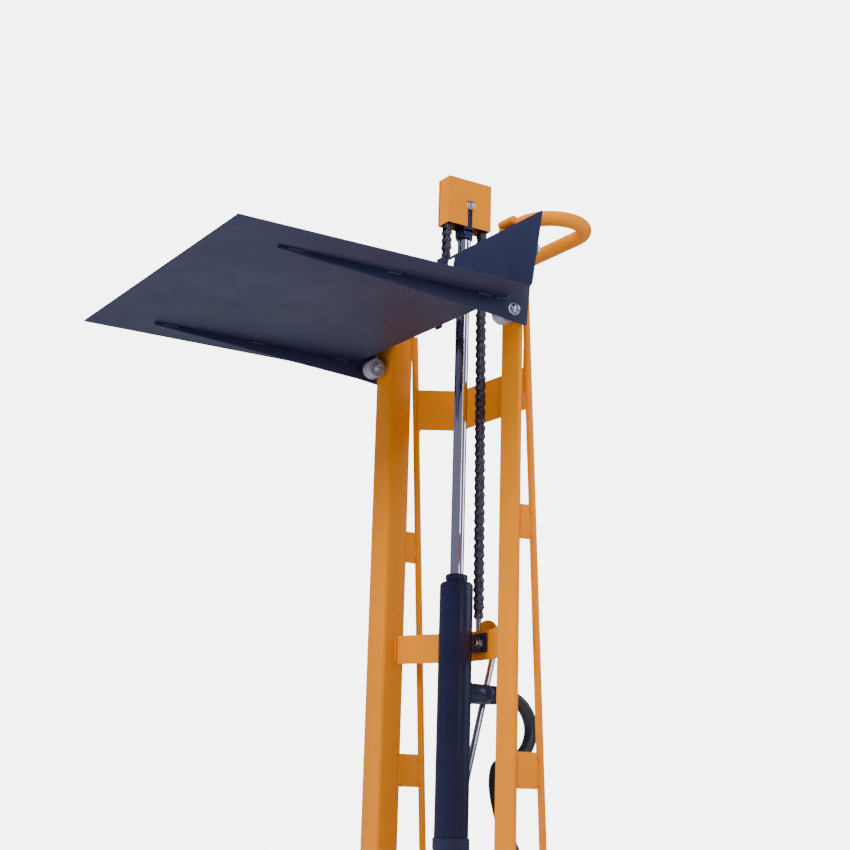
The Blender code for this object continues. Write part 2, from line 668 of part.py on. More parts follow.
# ---------------------------------------------------------------- ram, pulley and chain
def make_ram():
    rod("ram_rod", (0, RAM_Y, ROD_FOOT), (0, RAM_Y, CLEVIS_BOTTOM - FIT), ROD_RADIUS, CHROME, sides=32)
    arm_out, arm_in = 0.0162, 0.0112
    base_top = CLEVIS_BOTTOM + 0.018
    outline = [(-arm_out, CLEVIS_BOTTOM), (arm_out, CLEVIS_BOTTOM), (arm_out, PULLEY_Z + 0.011),
               (arm_in, PULLEY_Z + 0.011), (arm_in, base_top), (-arm_in, base_top),
               (-arm_in, PULLEY_Z + 0.011), (-arm_out, PULLEY_Z + 0.011)]
    clevis = plate("ram_clevis", outline, 0.022, FRONT_VIEW, (0, RAM_Y, 0), BLACK)
    cut(clevis, rod("clevis_bore", (-0.03, RAM_Y, PULLEY_Z), (0.03, RAM_Y, PULLEY_Z), 0.0054, None))


def make_pulley():
    root = CHAIN_RADIUS - CHAIN_HALF_HEIGHT - FIT - 0.0003
    rim, half, groove, bore = root + 0.005, 0.0106, 0.0092, 0.0056
    turned("chain_pulley", [(bore, half), (rim, half), (rim, groove), (root, groove), (root, -groove),
                            (rim, -groove), (rim, -half), (bore, -half)],
           (0, RAM_Y, PULLEY_Z), (1, 0, 0), CHAIN_STEEL, steps=36)
    end = GUARD_HALF_WIDTH + 0.009
    pin = rod("pulley_pin", (-end, RAM_Y, PULLEY_Z), (end, RAM_Y, PULLEY_Z), 0.0050, ZINC, sides=20)
    for number, sign in enumerate((-1, 1)):
        face = sign * (GUARD_HALF_WIDTH + FIT)
        join(pin, rod("pulley_nut_%d" % number, (face, RAM_Y, PULLEY_Z), (sign * end, RAM_Y, PULLEY_Z),
                      0.0082, None, sides=6))


def make_guards():
    """Two folded half covers, one each side of the pulley, slotted from the pin down to the open bottom."""
    for side, sign in SIDES:
        x = sorted((GUARD_SEAM_X + sign * GUARD_SEAM / 2, sign * GUARD_HALF_WIDTH))
        guard = box("chain_guard_" + side, (x[0], GUARD_FRONT, GUARD_BOTTOM),
                    (x[1], GUARD_REAR, GUARD_TOP), ORANGE)
        work = bmesh.new()
        work.from_mesh(guard.data)
        open_faces = [face for face in work.faces
                      if face.normal.z < -0.5 or face.normal.x * sign < -0.5]
        bmesh.ops.delete(work, geom=open_faces, context="FACES")
        work.to_mesh(guard.data)
        work.free()
        shell = guard.modifiers.new("sheet", "SOLIDIFY")
        shell.thickness = GUARD_SHEET
        shell.offset = -1
        shell.use_even_offset = True
        low_x = sign * (GUARD_HALF_WIDTH - 0.006)
        high_x = sign * (GUARD_HALF_WIDTH + 0.006)
        slot = box("guard_slot_" + side, (min(low_x, high_x), RAM_Y - 0.0054, GUARD_BOTTOM - 0.02),
                   (max(low_x, high_x), RAM_Y + 0.0054, PULLEY_Z), None)
        hole = rod("guard_hole_" + side, (low_x, RAM_Y, PULLEY_Z), (high_x, RAM_Y, PULLEY_Z), 0.0054, None)
        cut(guard, slot, hole)


def chain_run(name, start, end):
    """The space a straight chain run takes, as one bar; start and end are (y, z)."""
    start, end = Vector(start), Vector(end)
    along = (end - start).normalized()
    across = Vector((-along.y, along.x)) * CHAIN_HALF_HEIGHT
    outline = [tuple(start + across), tuple(start - across), tuple(end - across), tuple(end + across)]
    return plate(name, outline, 2 * CHAIN_HALF_WIDTH, SIDE_VIEW, (0, 0, 0), CHAIN_STEEL)


def make_chain():
    chain_run("chain_rear_run", (CHAIN_STUD_Y, CHAIN_STUD_TOP), (RAM_Y + CHAIN_RADIUS, PULLEY_Z - 0.0006))
    outer = arc((RAM_Y, PULLEY_Z), CHAIN_RADIUS + CHAIN_HALF_HEIGHT, 0, 180, 18)
    inner = arc((RAM_Y, PULLEY_Z), CHAIN_RADIUS - CHAIN_HALF_HEIGHT, 180, 0, 18)
    plate("chain_over_pulley", outer + inner, 2 * CHAIN_HALF_WIDTH, SIDE_VIEW, (0, 0, 0), CHAIN_STEEL)
    chain_run("chain_front_run", (CHAIN_TAB_Y, CHAIN_TAB_TOP + 0.0006),
              (RAM_Y - CHAIN_RADIUS, PULLEY_Z - 0.0006))


# ---------------------------------------------------------------- carriage
def back_y(z):
    """y of the back plate's front face at a height."""
    return PLATFORM_REAR + BACK_LEAN * (z - PLATFORM_TOP) / BACK_HEIGHT


def make_platform():
    """One bent sheet: the platform and its back plate, with the chain window near the top edge."""
    top = PLATFORM_TOP + BACK_HEIGHT
    path = rounded_path([(PLATFORM_FRONT, PLATFORM_TOP), (PLATFORM_REAR, PLATFORM_TOP), (back_y(top), top)],
                        BEND_RADIUS)
    sheet = plate("platform", strip(path, SHEET), PLATFORM_WIDTH, SIDE_VIEW, (0, 0, 0), BLACK)
    cut(sheet, box("chain_window", (-0.059, -0.060, 1.405), (0.059, 0.020, top - 0.005), None))


def make_side_plates():
    """Carriage side plates: a long tapered rib under the platform, then the plate that holds the rollers."""
    under = PLATFORM_TOP - SHEET - FIT
    clear = SHEET + 0.0015
    for side, sign in SIDES:
        outline = [(-0.470, under - 0.006), (-0.035, 1.3130), (0.009, 1.3075), (0.0165, 1.384),
                   (0.020, 1.428)]
        outline += arc((0.0240, UPPER_ROLLER_Z), 0.0125, -60, 90, 8)
        outline += [(back_y(1.466) + clear + 0.002, 1.466), (back_y(1.362) + clear, 1.362),
                    (PLATFORM_REAR + clear, under + 0.004), (PLATFORM_REAR + 0.001, under), (-0.470, under)]
        holes = [circle((LOWER_ROLLER_Y, LOWER_ROLLER_Z), PIN_RADIUS + 0.0004),
                 circle((UPPER_ROLLER_Y, UPPER_ROLLER_Z), PIN_RADIUS + 0.0004)]
        plate("side_plate_" + side, outline, SIDE_PLATE, SIDE_VIEW,
              (sign * (SIDE_PLATE_X + SIDE_PLATE / 2), 0, 0), BLACK, holes)


def make_rollers():
    """Four rollers: the lower pair bears on the front of the flanges, the upper pair on their back."""
    outer = ROLLER_INNER + ROLLER_WIDTH
    for side, sign in SIDES:
        for level, y, z, proud in (("lower", LOWER_ROLLER_Y, LOWER_ROLLER_Z, NUT_PROUD),
                                   ("upper", UPPER_ROLLER_Y, UPPER_ROLLER_Z, LOW_HEAD_PROUD)):
            half = ROLLER_WIDTH / 2
            profile = [(ROLLER_BORE, half), (ROLLER_RADIUS - 0.0015, half), (ROLLER_RADIUS, half - 0.0015)]
            profile += [(r, -h) for r, h in reversed(profile)]
            turned("%s_roller_%s" % (level, side), profile, (sign * (ROLLER_INNER + half), y, z), (1, 0, 0),
                   NYLON)
            inner_end, outer_end = ROLLER_INNER - 0.007, SIDE_PLATE_X + SIDE_PLATE + proud
            name = "%s_roller_bolt_%s" % (level, side)
            bolt = rod(name, (sign * (ROLLER_INNER - 0.001), y, z), (sign * outer_end, y, z), PIN_RADIUS,
                       ZINC, sides=20)
            join(bolt,
                 rod(name + "_head", (sign * inner_end, y, z), (sign * (ROLLER_INNER - FIT), y, z),
                     0.0095, None, sides=6),
                 rod(name + "_spacer", (sign * (outer + FIT), y, z), (sign * (SIDE_PLATE_X - FIT), y, z),
                     0.0085, None, sides=20),
                 rod(name + "_nut", (sign * (SIDE_PLATE_X + SIDE_PLATE + FIT), y, z),
                     (sign * outer_end, y, z), 0.0095, None, sides=6))


def make_carriage_bar():
    """Cross bar between the side plates, and the tab on it that the chain pulls."""
    reach = SIDE_PLATE_X - FIT
    bar = box("carriage_bar", (-reach, -0.0188, 1.366), (reach, -0.0135, 1.396), BLACK)
    join(bar, box("chain_tab", (-0.0090, -0.0139, 1.360), (0.0090, -0.0085, 1.498), None),
         box("tab_head", (-0.0060, -0.0120, 1.482), (0.0060, 0.0050, CHAIN_TAB_TOP), None))


# ---------------------------------------------------------------- pedals
def make_pedals():
    """Foot pedal on a cross shaft behind the tank, and the small release pedal on the other side."""
    y, z = PEDAL_PIVOT_Y, PEDAL_PIVOT_Z
    rod("pedal_shaft", (-0.156, y, z), (0.156, y, z), 0.0080, ZINC, sides=20)
    make_foot_pedal(y, z)
    make_release_pedal(y, z)


def make_foot_pedal(y, z):
    sleeve = turned("foot_pedal", [(0.0086, 0.020), (0.015, 0.020), (0.015, -0.020), (0.0086, -0.020)],
                    (0.084, y, z), (1, 0, 0), BLACK, steps=24)
    path = rounded_path([(y + 0.002, z + 0.008), (y + 0.008, z + 0.060), (PEDAL_REAR - 0.045, z + 0.072)],
                        0.012)
    arm = plate("pedal_arm", strip(path, 0.012), 0.012, SIDE_VIEW, (0.084, 0, 0), None)
    tread = box("pedal_tread", (0.039, PEDAL_REAR - 0.060, z + 0.068), (0.129, PEDAL_REAR, z + 0.073), None)
    join(sleeve, arm, tread)
    return sleeve


def make_release_pedal(y, z):
    sleeve = turned("release_pedal", [(0.0086, 0.012), (0.015, 0.012), (0.015, -0.012), (0.0086, -0.012)],
                    (-0.100, y, z), (1, 0, 0), RED, steps=24)
    path = [(y + 0.011, z - 0.003), (y + 0.215, z + 0.020)]
    arm = plate("release_arm", strip(path, 0.009), 0.010, SIDE_VIEW, (-0.100, 0, 0), None)
    tread = box("release_tread", (-0.125, y + 0.190, z + 0.012), (-0.075, y + 0.235, z + 0.017), None)
    join(sleeve, arm, tread)


make_uprights()
make_rear_trusses()
make_straps()
make_cylinder_bracket()
make_rear_lug()
make_tie_rod()
make_chain_stud()
make_handle()
make_carriage_stops()
make_base()
make_casters()
make_cylinder()
make_hose()
make_pump()
make_ram()
make_pulley()
make_guards()
make_chain()
make_platform()
make_side_plates()
make_rollers()
make_carriage_bar()
make_pedals()
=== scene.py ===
"""Looks of the pedal platform lift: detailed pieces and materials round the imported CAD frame."""
import math

import bmesh
import bpy
from mathutils import Matrix, Vector


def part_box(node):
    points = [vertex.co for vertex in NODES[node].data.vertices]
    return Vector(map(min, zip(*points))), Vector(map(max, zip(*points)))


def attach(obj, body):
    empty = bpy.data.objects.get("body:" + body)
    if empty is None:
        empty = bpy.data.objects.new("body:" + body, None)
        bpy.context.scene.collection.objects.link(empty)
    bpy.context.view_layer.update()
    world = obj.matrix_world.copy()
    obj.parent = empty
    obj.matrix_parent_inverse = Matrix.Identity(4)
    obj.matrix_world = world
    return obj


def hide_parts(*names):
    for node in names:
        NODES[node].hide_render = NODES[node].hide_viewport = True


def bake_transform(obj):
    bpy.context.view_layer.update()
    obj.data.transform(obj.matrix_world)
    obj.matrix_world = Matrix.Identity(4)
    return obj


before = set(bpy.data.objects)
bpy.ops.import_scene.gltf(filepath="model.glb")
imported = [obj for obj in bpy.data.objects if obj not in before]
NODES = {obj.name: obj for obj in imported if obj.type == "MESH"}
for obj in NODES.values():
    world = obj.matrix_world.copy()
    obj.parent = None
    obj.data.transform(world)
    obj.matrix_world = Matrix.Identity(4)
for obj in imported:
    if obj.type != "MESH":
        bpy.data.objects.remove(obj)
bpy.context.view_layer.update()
MAST_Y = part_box("upright_right")[0][1]      # world y of the mast's front face
SIDES = (("left", -1), ("right", 1))


def at(x, y, z):
    """World point whose y is measured from the mast's front face."""
    return Vector((x, MAST_Y + y, z))


# ---------------------------------------------------------------- materials
class Nodes:
    """A material's node tree, with short calls for the nodes used here."""

    def __init__(self, name):
        self.mat = bpy.data.materials.new(name)
        self.mat.use_nodes = True
        self.tree = self.mat.node_tree
        self.shader = self.tree.nodes["Principled BSDF"]
        self.place = self.tree.nodes.new("ShaderNodeTexCoord").outputs["Object"]

    def link(self, source, target):
        self.tree.links.new(source, target)

    def noise(self, scale, detail=3.0, roughness=0.5, stretch=None):
        node = self.tree.nodes.new("ShaderNodeTexNoise")
        node.inputs["Scale"].default_value = scale
        node.inputs["Detail"].default_value = detail
        node.inputs["Roughness"].default_value = roughness
        source = self.place
        if stretch:
            mapping = self.tree.nodes.new("ShaderNodeMapping")
            mapping.inputs["Scale"].default_value = stretch
            self.link(source, mapping.inputs["Vector"])
            source = mapping.outputs["Vector"]
        self.link(source, node.inputs["Vector"])
        return node.outputs["Fac"]

    def ramp(self, factor, low, high, colors):
        node = self.tree.nodes.new("ShaderNodeValToRGB")
        node.color_ramp.elements[0].position = low
        node.color_ramp.elements[1].position = high
        for element, color in zip(node.color_ramp.elements, colors):
            element.color = (*color, 1.0) if len(color) == 3 else (color[0],) * 3 + (1.0,)
        self.link(factor, node.inputs["Fac"])
        return node.outputs["Color"]

    def mix(self, factor, first, second):
        node = self.tree.nodes.new("ShaderNodeMix")
        node.data_type = "RGBA"
        self.link(factor, node.inputs[0])
        self.link(first, node.inputs[6])
        if isinstance(second, tuple):
            node.inputs[7].default_value = (*second, 1.0)
        else:
            self.link(second, node.inputs[7])
        return node.outputs[2]

    def bump(self, height, strength, distance):
        node = self.tree.nodes.new("ShaderNodeBump")
        node.inputs["Strength"].default_value = strength
        node.inputs["Distance"].default_value = distance
        self.link(height, node.inputs["Height"])
        if self.shader.inputs["Normal"].is_linked:
            self.link(self.shader.inputs["Normal"].links[0].from_socket, node.inputs["Normal"])
        self.link(node.outputs["Normal"], self.shader.inputs["Normal"])

    def edges(self, radius):
        """1 at a convex edge, 0 on the flat."""
        node = self.tree.nodes.new("ShaderNodeNewGeometry")
        return self.ramp(node.outputs["Pointiness"], 0.53, 0.53 + radius, ((0,), (1,)))

    def set(self, **values):
        for key, value in values.items():
            self.shader.inputs[key.replace("_", " ")].default_value = value


def powder_coat(name, base, dark, roughness, peel, specular=0.5, painted_sheen_tint=(1, 1, 1)):
    """Powder coat: slight colour drift, fine orange peel, faint dust and handling marks."""
    n = Nodes(name)
    color = n.ramp(n.noise(7.0, 4.0), 0.30, 0.72, (dark, base))
    dust = n.ramp(n.noise(38.0, 6.0, 0.7), 0.60, 0.80, ((0,), (0.08,)))
    color = n.mix(dust, color, tuple(min(1.0, c * 1.15 + 0.03) for c in base))
    n.link(color, n.shader.inputs["Base Color"])
    n.link(n.ramp(n.noise(16.0, 5.0, 0.6), 0.30, 0.75, ((roughness - 0.05,), (roughness + 0.10,))),
           n.shader.inputs["Roughness"])
    n.bump(n.noise(900.0, 1.0), peel, 0.0004)
    n.bump(n.noise(26.0, 2.0), peel * 0.4, 0.002)
    # a specular tint other than white colours every reflection: on the black paints it is a painted blue
    # sheen
    n.set(Specular_IOR_Level=specular, Specular_Tint=(*painted_sheen_tint, 1.0))
    return n.mat


def bare_metal(name, base, dark, roughness, scratch=0.1, stretch=(1, 1, 1)):
    n = Nodes(name)
    color = n.ramp(n.noise(30.0, 5.0, 0.6, stretch), 0.3, 0.7, (dark, base))
    n.link(color, n.shader.inputs["Base Color"])
    n.link(n.ramp(n.noise(60.0, 6.0, 0.7, stretch), 0.3, 0.75, ((roughness * 0.7,), (roughness * 1.4,))),
           n.shader.inputs["Roughness"])
    n.bump(n.noise(400.0, 2.0, 0.5, stretch), scratch, 0.0003)
    n.set(Metallic=1.0)
    return n.mat


def chain_steel():
    """Dark chain steel with random patches of grease, brighter towards its convex edges."""
    n = Nodes("chain_steel")
    grime = n.ramp(n.noise(140.0, 6.0, 0.7), 0.35, 0.7, ((0.028, 0.028, 0.040), (0.105, 0.105, 0.150)))
    # lighter blue-grey towards the convex edges, random dark grime elsewhere
    n.link(n.mix(n.edges(0.10), grime, (0.30, 0.30, 0.38)), n.shader.inputs["Base Color"])
    n.link(n.ramp(n.noise(90.0, 5.0), 0.3, 0.7, ((0.30,), (0.60,))), n.shader.inputs["Roughness"])
    n.bump(n.noise(500.0, 3.0), 0.25, 0.0004)
    n.set(Metallic=0.75)
    return n.mat


def plastic(name, base, dark, roughness, grain):
    n = Nodes(name)
    n.link(n.ramp(n.noise(20.0, 5.0, 0.65), 0.32, 0.72, (dark, base)), n.shader.inputs["Base Color"])
    n.link(n.ramp(n.noise(45.0, 4.0), 0.3, 0.7, ((roughness - 0.06,), (roughness + 0.10,))),
           n.shader.inputs["Roughness"])
    n.bump(n.noise(300.0, 3.0), grain, 0.0004)
    return n.mat


ORANGE = powder_coat("orange_powder_coat", (0.96, 0.295, 0.001), (0.89, 0.268, 0.001), 0.40, 0.10,
                     specular=0.22)
# BLACK and GLOSS_BLACK take a blue specular tint, a painted blue sheen on their reflections
BLACK = powder_coat("black_powder_coat", (0.022, 0.023, 0.066), (0.017, 0.018, 0.053), 0.44, 0.14,
                    painted_sheen_tint=(0.62, 0.70, 1.0))
GLOSS_BLACK = powder_coat("cylinder_black", (0.013, 0.013, 0.044), (0.010, 0.010, 0.034), 0.32, 0.06,
                          painted_sheen_tint=(0.60, 0.68, 1.0))
RED = powder_coat("red_powder_coat", (0.48, 0.030, 0.018), (0.40, 0.022, 0.014), 0.38, 0.12)
CHROME = bare_metal("polished_chrome", (0.74, 0.72, 0.92), (0.71, 0.69, 0.89), 0.07, 0.0, (1, 1, 0.05))
ZINC = bare_metal("zinc_plate", (0.62, 0.66, 0.76), (0.46, 0.49, 0.58), 0.26, 0.12)
CHAIN = chain_steel()
NYLON = plastic("turned_nylon", (0.38, 0.38, 0.47), (0.30, 0.30, 0.38), 0.40, 0.10)
RUBBER = plastic("black_rubber", (0.026, 0.026, 0.030), (0.016, 0.016, 0.018), 0.62, 0.25)
HOSE = plastic("hose_rubber", (0.014, 0.015, 0.026), (0.009, 0.010, 0.017), 0.40, 0.15)
BLUE_RING = plastic("locknut_ring", (0.08, 0.13, 0.36), (0.06, 0.10, 0.30), 0.45, 0.05)


# ---------------------------------------------------------------- shapes
SHARP_EDGE = math.radians(28)           # edges sharper than this are rounded
SHADING_ANGLE = 32                      # degrees; faces that meet at less than this are shaded smooth
WELD_STEP = 0.0016                      # distance between the ripples of a weld bead
FINE_EDGE = 0.0003                      # rounding of washers and chain links


class Piece:
    """Collects detailed shapes into one object."""

    def __init__(self):
        self.bm = bmesh.new()

    def take(self, work, bevel=0.0):
        """Round the sharp edges of a new shape and add it."""
        bmesh.ops.remove_doubles(work, verts=work.verts, dist=1e-6)
        bmesh.ops.recalc_face_normals(work, faces=work.faces)
        if bevel:
            sharp = [e for e in work.edges
                     if len(e.link_faces) == 2 and e.calc_face_angle(0.0) > SHARP_EDGE]
            bmesh.ops.bevel(work, geom=sharp, offset=bevel, segments=2, profile=0.5,
                            affect="EDGES", clamp_overlap=True)
        mesh = bpy.data.meshes.new("shape")
        work.to_mesh(mesh)
        work.free()
        self.bm.from_mesh(mesh)
        bpy.data.meshes.remove(mesh)
        return self

    def box(self, low, high, bevel=0.0008):
        low, high = at(*low), at(*high)
        work = bmesh.new()
        bmesh.ops.create_cube(work, size=1.0)
        bmesh.ops.scale(work, vec=high - low, verts=work.verts)
        bmesh.ops.translate(work, vec=(low + high) / 2, verts=work.verts)
        return self.take(work, bevel)

    def rod(self, start, end, radius, sides=40, bevel=0.0006):
        start, end = at(*start), at(*end)
        along = end - start
        work = bmesh.new()
        bmesh.ops.create_cone(work, cap_ends=True, segments=sides, radius1=radius, radius2=radius,
                              depth=along.length)
        turn = Vector((0, 0, 1)).rotation_difference(along).to_matrix().to_4x4()
        work.transform(Matrix.Translation((start + end) / 2) @ turn)
        return self.take(work, bevel)

    def lathe(self, profile, centre, axis=(0, 0, 1), steps=48, closed=None):
        """(radius, height) pairs turned about an axis through the centre."""
        closed = all(radius > 0 for radius, _ in profile) if closed is None else closed
        work = bmesh.new()
        corners = [work.verts.new((radius, 0, height)) for radius, height in profile]
        pairs = list(zip(corners, corners[1:])) + ([(corners[-1], corners[0])] if closed else [])
        edges = [work.edges.new(pair) for pair in pairs]
        bmesh.ops.spin(work, geom=corners + edges, cent=(0, 0, 0), axis=(0, 0, 1), steps=steps,
                       angle=math.tau, use_merge=True)
        turn = Vector((0, 0, 1)).rotation_difference(Vector(axis)).to_matrix().to_4x4()
        work.transform(Matrix.Translation(at(*centre)) @ turn)
        return self.take(work)

    def plate(self, outline, thickness, view, centre, bevel=0.0006):
        """A flat outline of (u, v) points given thickness about its centre plane."""
        work = bmesh.new()
        face = work.faces.new([work.verts.new((u, v, -thickness / 2)) for u, v in outline])
        grown = bmesh.ops.extrude_face_region(work, geom=[face])["geom"]
        top = [part for part in grown if isinstance(part, bmesh.types.BMVert)]
        bmesh.ops.translate(work, vec=(0, 0, thickness), verts=top)
        work.transform(Matrix.Translation(at(*centre)) @ view)
        return self.take(work, bevel)

    def tube(self, points, radius, sides=20, ripple=0.0):
        """A round tube along a path; ripple makes the rings of a weld bead."""
        path = [at(*point) for point in points]
        work = bmesh.new()
        rings = []
        normal = None
        for index, point in enumerate(path):
            along = (path[min(index + 1, len(path) - 1)] - path[max(index - 1, 0)]).normalized()
            if normal is None:
                normal = along.orthogonal().normalized()
            normal = (normal - along * normal.dot(along)).normalized()
            side = along.cross(normal)
            tapered = ripple and index in (0, len(path) - 1)
            reach = radius * (1 + ripple * math.sin(index * 2.1)) * (0.35 if tapered else 1)
            rings.append([work.verts.new(point + reach * (normal * math.cos(a) + side * math.sin(a)))
                          for a in (math.tau * k / sides for k in range(sides))])
        for first, second in zip(rings, rings[1:]):
            for k in range(sides):
                work.faces.new((first[k], first[(k + 1) % sides], second[(k + 1) % sides], second[k]))
        work.faces.new(rings[0])
        work.faces.new(rings[-1])
        return self.take(work)

    def bead(self, start, end, radius=0.0028):
        """A weld bead between two points."""
        start, end = Vector(start), Vector(end)
        count = max(4, int((end - start).length / WELD_STEP))
        points = [start.lerp(end, i / count) for i in range(count + 1)]
        return self.tube([tuple(p) for p in points], radius, 10, 0.16)

    def hexagon(self, start, end, radius):
        """A bolt head or nut."""
        return self.rod(start, end, radius, 6, 0.0007)

    def done(self, name, material, body, slot, *replaced, smooth=SHADING_ANGLE):
        """The finished object; a piece given no body is left unattached."""
        mesh = bpy.data.meshes.new(name)
        self.bm.to_mesh(mesh)
        self.bm.free()
        mesh.materials.append(material)
        mesh.shade_smooth()
        mesh.set_sharp_from_angle(angle=math.radians(smooth))
        obj = bpy.data.objects.new(name, mesh)
        bpy.context.scene.collection.objects.link(obj)
        if body:
            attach(obj, body)
        if replaced:
            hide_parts(*replaced)
        return obj


FRONT_VIEW = Matrix(((1, 0, 0), (0, 0, -1), (0, 1, 0))).to_4x4()       # u = x, v = z, normal -y
SIDE_VIEW = Matrix(((0, 0, 1), (1, 0, 0), (0, 1, 0))).to_4x4()         # u = y, v = z, normal +x
PLAN_VIEW = Matrix.Identity(4)                                         # u = x, v = y, normal +z


def arc(centre, radius, start, end, count):
    """Points along an arc, from one angle to another, in degrees."""
    angles = (math.radians(start + (end - start) * i / count) for i in range(count + 1))
    return [(centre[0] + radius * math.cos(a), centre[1] + radius * math.sin(a)) for a in angles]


def rounded(points, radius, count=10):
    """A polyline with its inner corners rounded off."""
    path = [Vector(points[0])]
    for before, corner, after in zip(points, points[1:], points[2:]):
        corner = Vector(corner)
        back, ahead = (Vector(before) - corner).normalized(), (Vector(after) - corner).normalized()
        half = back.angle(ahead) / 2
        middle = corner + (back + ahead).normalized() * radius / math.sin(half)
        reach = radius / math.tan(half)
        first, last = corner + back * reach - middle, corner + ahead * reach - middle
        path += [middle + first.slerp(last, i / count).normalized() * radius for i in range(count + 1)]
    return path + [Vector(points[-1])]


def strip(points, thickness):
    """Outline of a bent strip; the points are its left side, looking along it."""
    path = [Vector(point) for point in points]
    other = []
    for index, point in enumerate(path):
        first = (point - path[index - 1]).normalized() if index else (path[1] - point).normalized()
        second = (path[index + 1] - point).normalized() if index < len(path) - 1 else first
        normal = (Vector((first.y, -first.x)) + Vector((second.y, -second.x))).normalized()
        other.append(point + normal * thickness / max(normal.dot(Vector((first.y, -first.x))), 0.3))
    return [tuple(point) for point in path + other[::-1]]


def spline(points, count=6):
    """Catmull-Rom curve through 3-D points."""
    points = [Vector(p) for p in points]
    points = [2 * points[0] - points[1], *points, 2 * points[-1] - points[-2]]
    path = []
    for a, b, c, d in zip(points, points[1:], points[2:], points[3:]):
        for i in range(count):
            t = i / count
            path.append(0.5 * (2 * b + (c - a) * t + (2 * a - 5 * b + 4 * c - d) * t ** 2
                               + (3 * b - a - 3 * c + d) * t ** 3))
    return [tuple(p) for p in path + [points[-2]]]


# ---------------------------------------------------------------- sizes of the frame
UP_LOW, UP_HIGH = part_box("upright_right")
INNER, OUTER, DEPTH = UP_LOW[0], UP_HIGH[0], UP_HIGH[1] - MAST_Y
TOP, FOOT = UP_HIGH[2], UP_LOW[2]
FIT = 0.0003                    # gap left between pieces that touch
WALL = 0.005                    # steel of the mast, straps and side plates
SHEET = 0.003                   # steel of the platform
STAY_RADIUS = 0.0065
PLATFORM_TOP = 1.350
PLATFORM_FRONT = -0.577
PLATFORM_REAR = -0.038
PLATFORM_HALF = 0.325
BACK_HEIGHT = 0.138
BACK_LEAN = 0.0205
SIDE_PLATE_X = 0.247            # middle of a side plate's thickness
LOWER_ROLLER_Z = 1.331
UPPER_ROLLER_Z = 1.452
RAM_Y = 0.0412
ROD_RADIUS = 0.0125
CYLINDER_RADIUS = 0.030
PORT_Z = 0.697
PULLEY_Z = 1.611
CHAIN_RADIUS = 0.039
PITCH = 0.015875
CHAIN_EYE = (0.0905, 0.8365)    # (y, z) of the pin that holds the chain to the mast
CHAIN_TAB = (0.0010, 1.5075)    # (y, z) of the pin that holds the chain to the carriage
BRACE_X = -0.030


def stay_y(z):
    """The y of the raking rear stay at a height."""
    return 0.0542 + 0.051 * (PLATFORM_TOP - z)


# ---------------------------------------------------------------- mast
def mast():
    """Each upright with its raking rear stay, three web plates and the stop bar on top."""
    for side, sign in SIDES:
        section = rounded([(INNER, DEPTH), (INNER, 0.0), (OUTER, 0.0)], 0.0085, 12)
        outline = [(sign * x, y) for x, y in strip(section[::-1], WALL)]
        upright = Piece().plate(outline, TOP - FOOT, PLAN_VIEW, (0, 0, (TOP + FOOT) / 2), 0.0005)
        upright.done("upright_" + side + "_skin", ORANGE, "mast_frame", "orange_paint", "upright_" + side)

        x = sign * (INNER + WALL / 2)
        low, high = 0.1395, 1.400
        stay = Piece().rod((x, stay_y(low), low), (x, stay_y(high), high), STAY_RADIUS, 32, 0.0015)
        for top in (1.010, 0.593, 0.199):
            bottom = top - 0.060
            stay.plate([(DEPTH + FIT, bottom), (stay_y(bottom), bottom), (stay_y(top), top),
                        (DEPTH + FIT, top)], WALL, SIDE_VIEW, (x, 0, 0), 0.0007)
            for edge in (-1, 1):
                face = x + edge * WALL / 2
                stay.bead((face, DEPTH + 0.001, bottom + 0.004), (face, DEPTH + 0.001, top - 0.004), 0.0022)
                for level in (bottom + 0.004, top - 0.014):
                    stay.bead((face + edge * 0.001, stay_y(level) - 0.005, level),
                              (face + edge * 0.001, stay_y(level + 0.01) - 0.005, level + 0.010), 0.0028)
        for weld_x in (x - 0.003, x + 0.003):
            stay.bead((weld_x, stay_y(1.38) - 0.006, 1.352), (weld_x, stay_y(1.399) - 0.006, 1.399), 0.0028)
        stay.done("rear_stay_" + side, ORANGE, "mast_frame", "orange_paint", "rear_truss_" + side)

        radius = 0.0072
        height = TOP + FIT + radius
        ends = (sign * (INNER + 0.009), sign * (OUTER - 0.006))
        stop = Piece().rod((ends[0], -0.009, height), (ends[1], -0.009, height), radius, 36, 0.0022)
        stop.bead((ends[0] + sign * 0.004, -0.0022, TOP + 0.001),
                  (ends[1] - sign * 0.004, -0.0022, TOP + 0.001), 0.0022)
        stop.done("stop_bar_" + side, ORANGE, "mast_frame", "orange_paint", "carriage_stop_" + side)


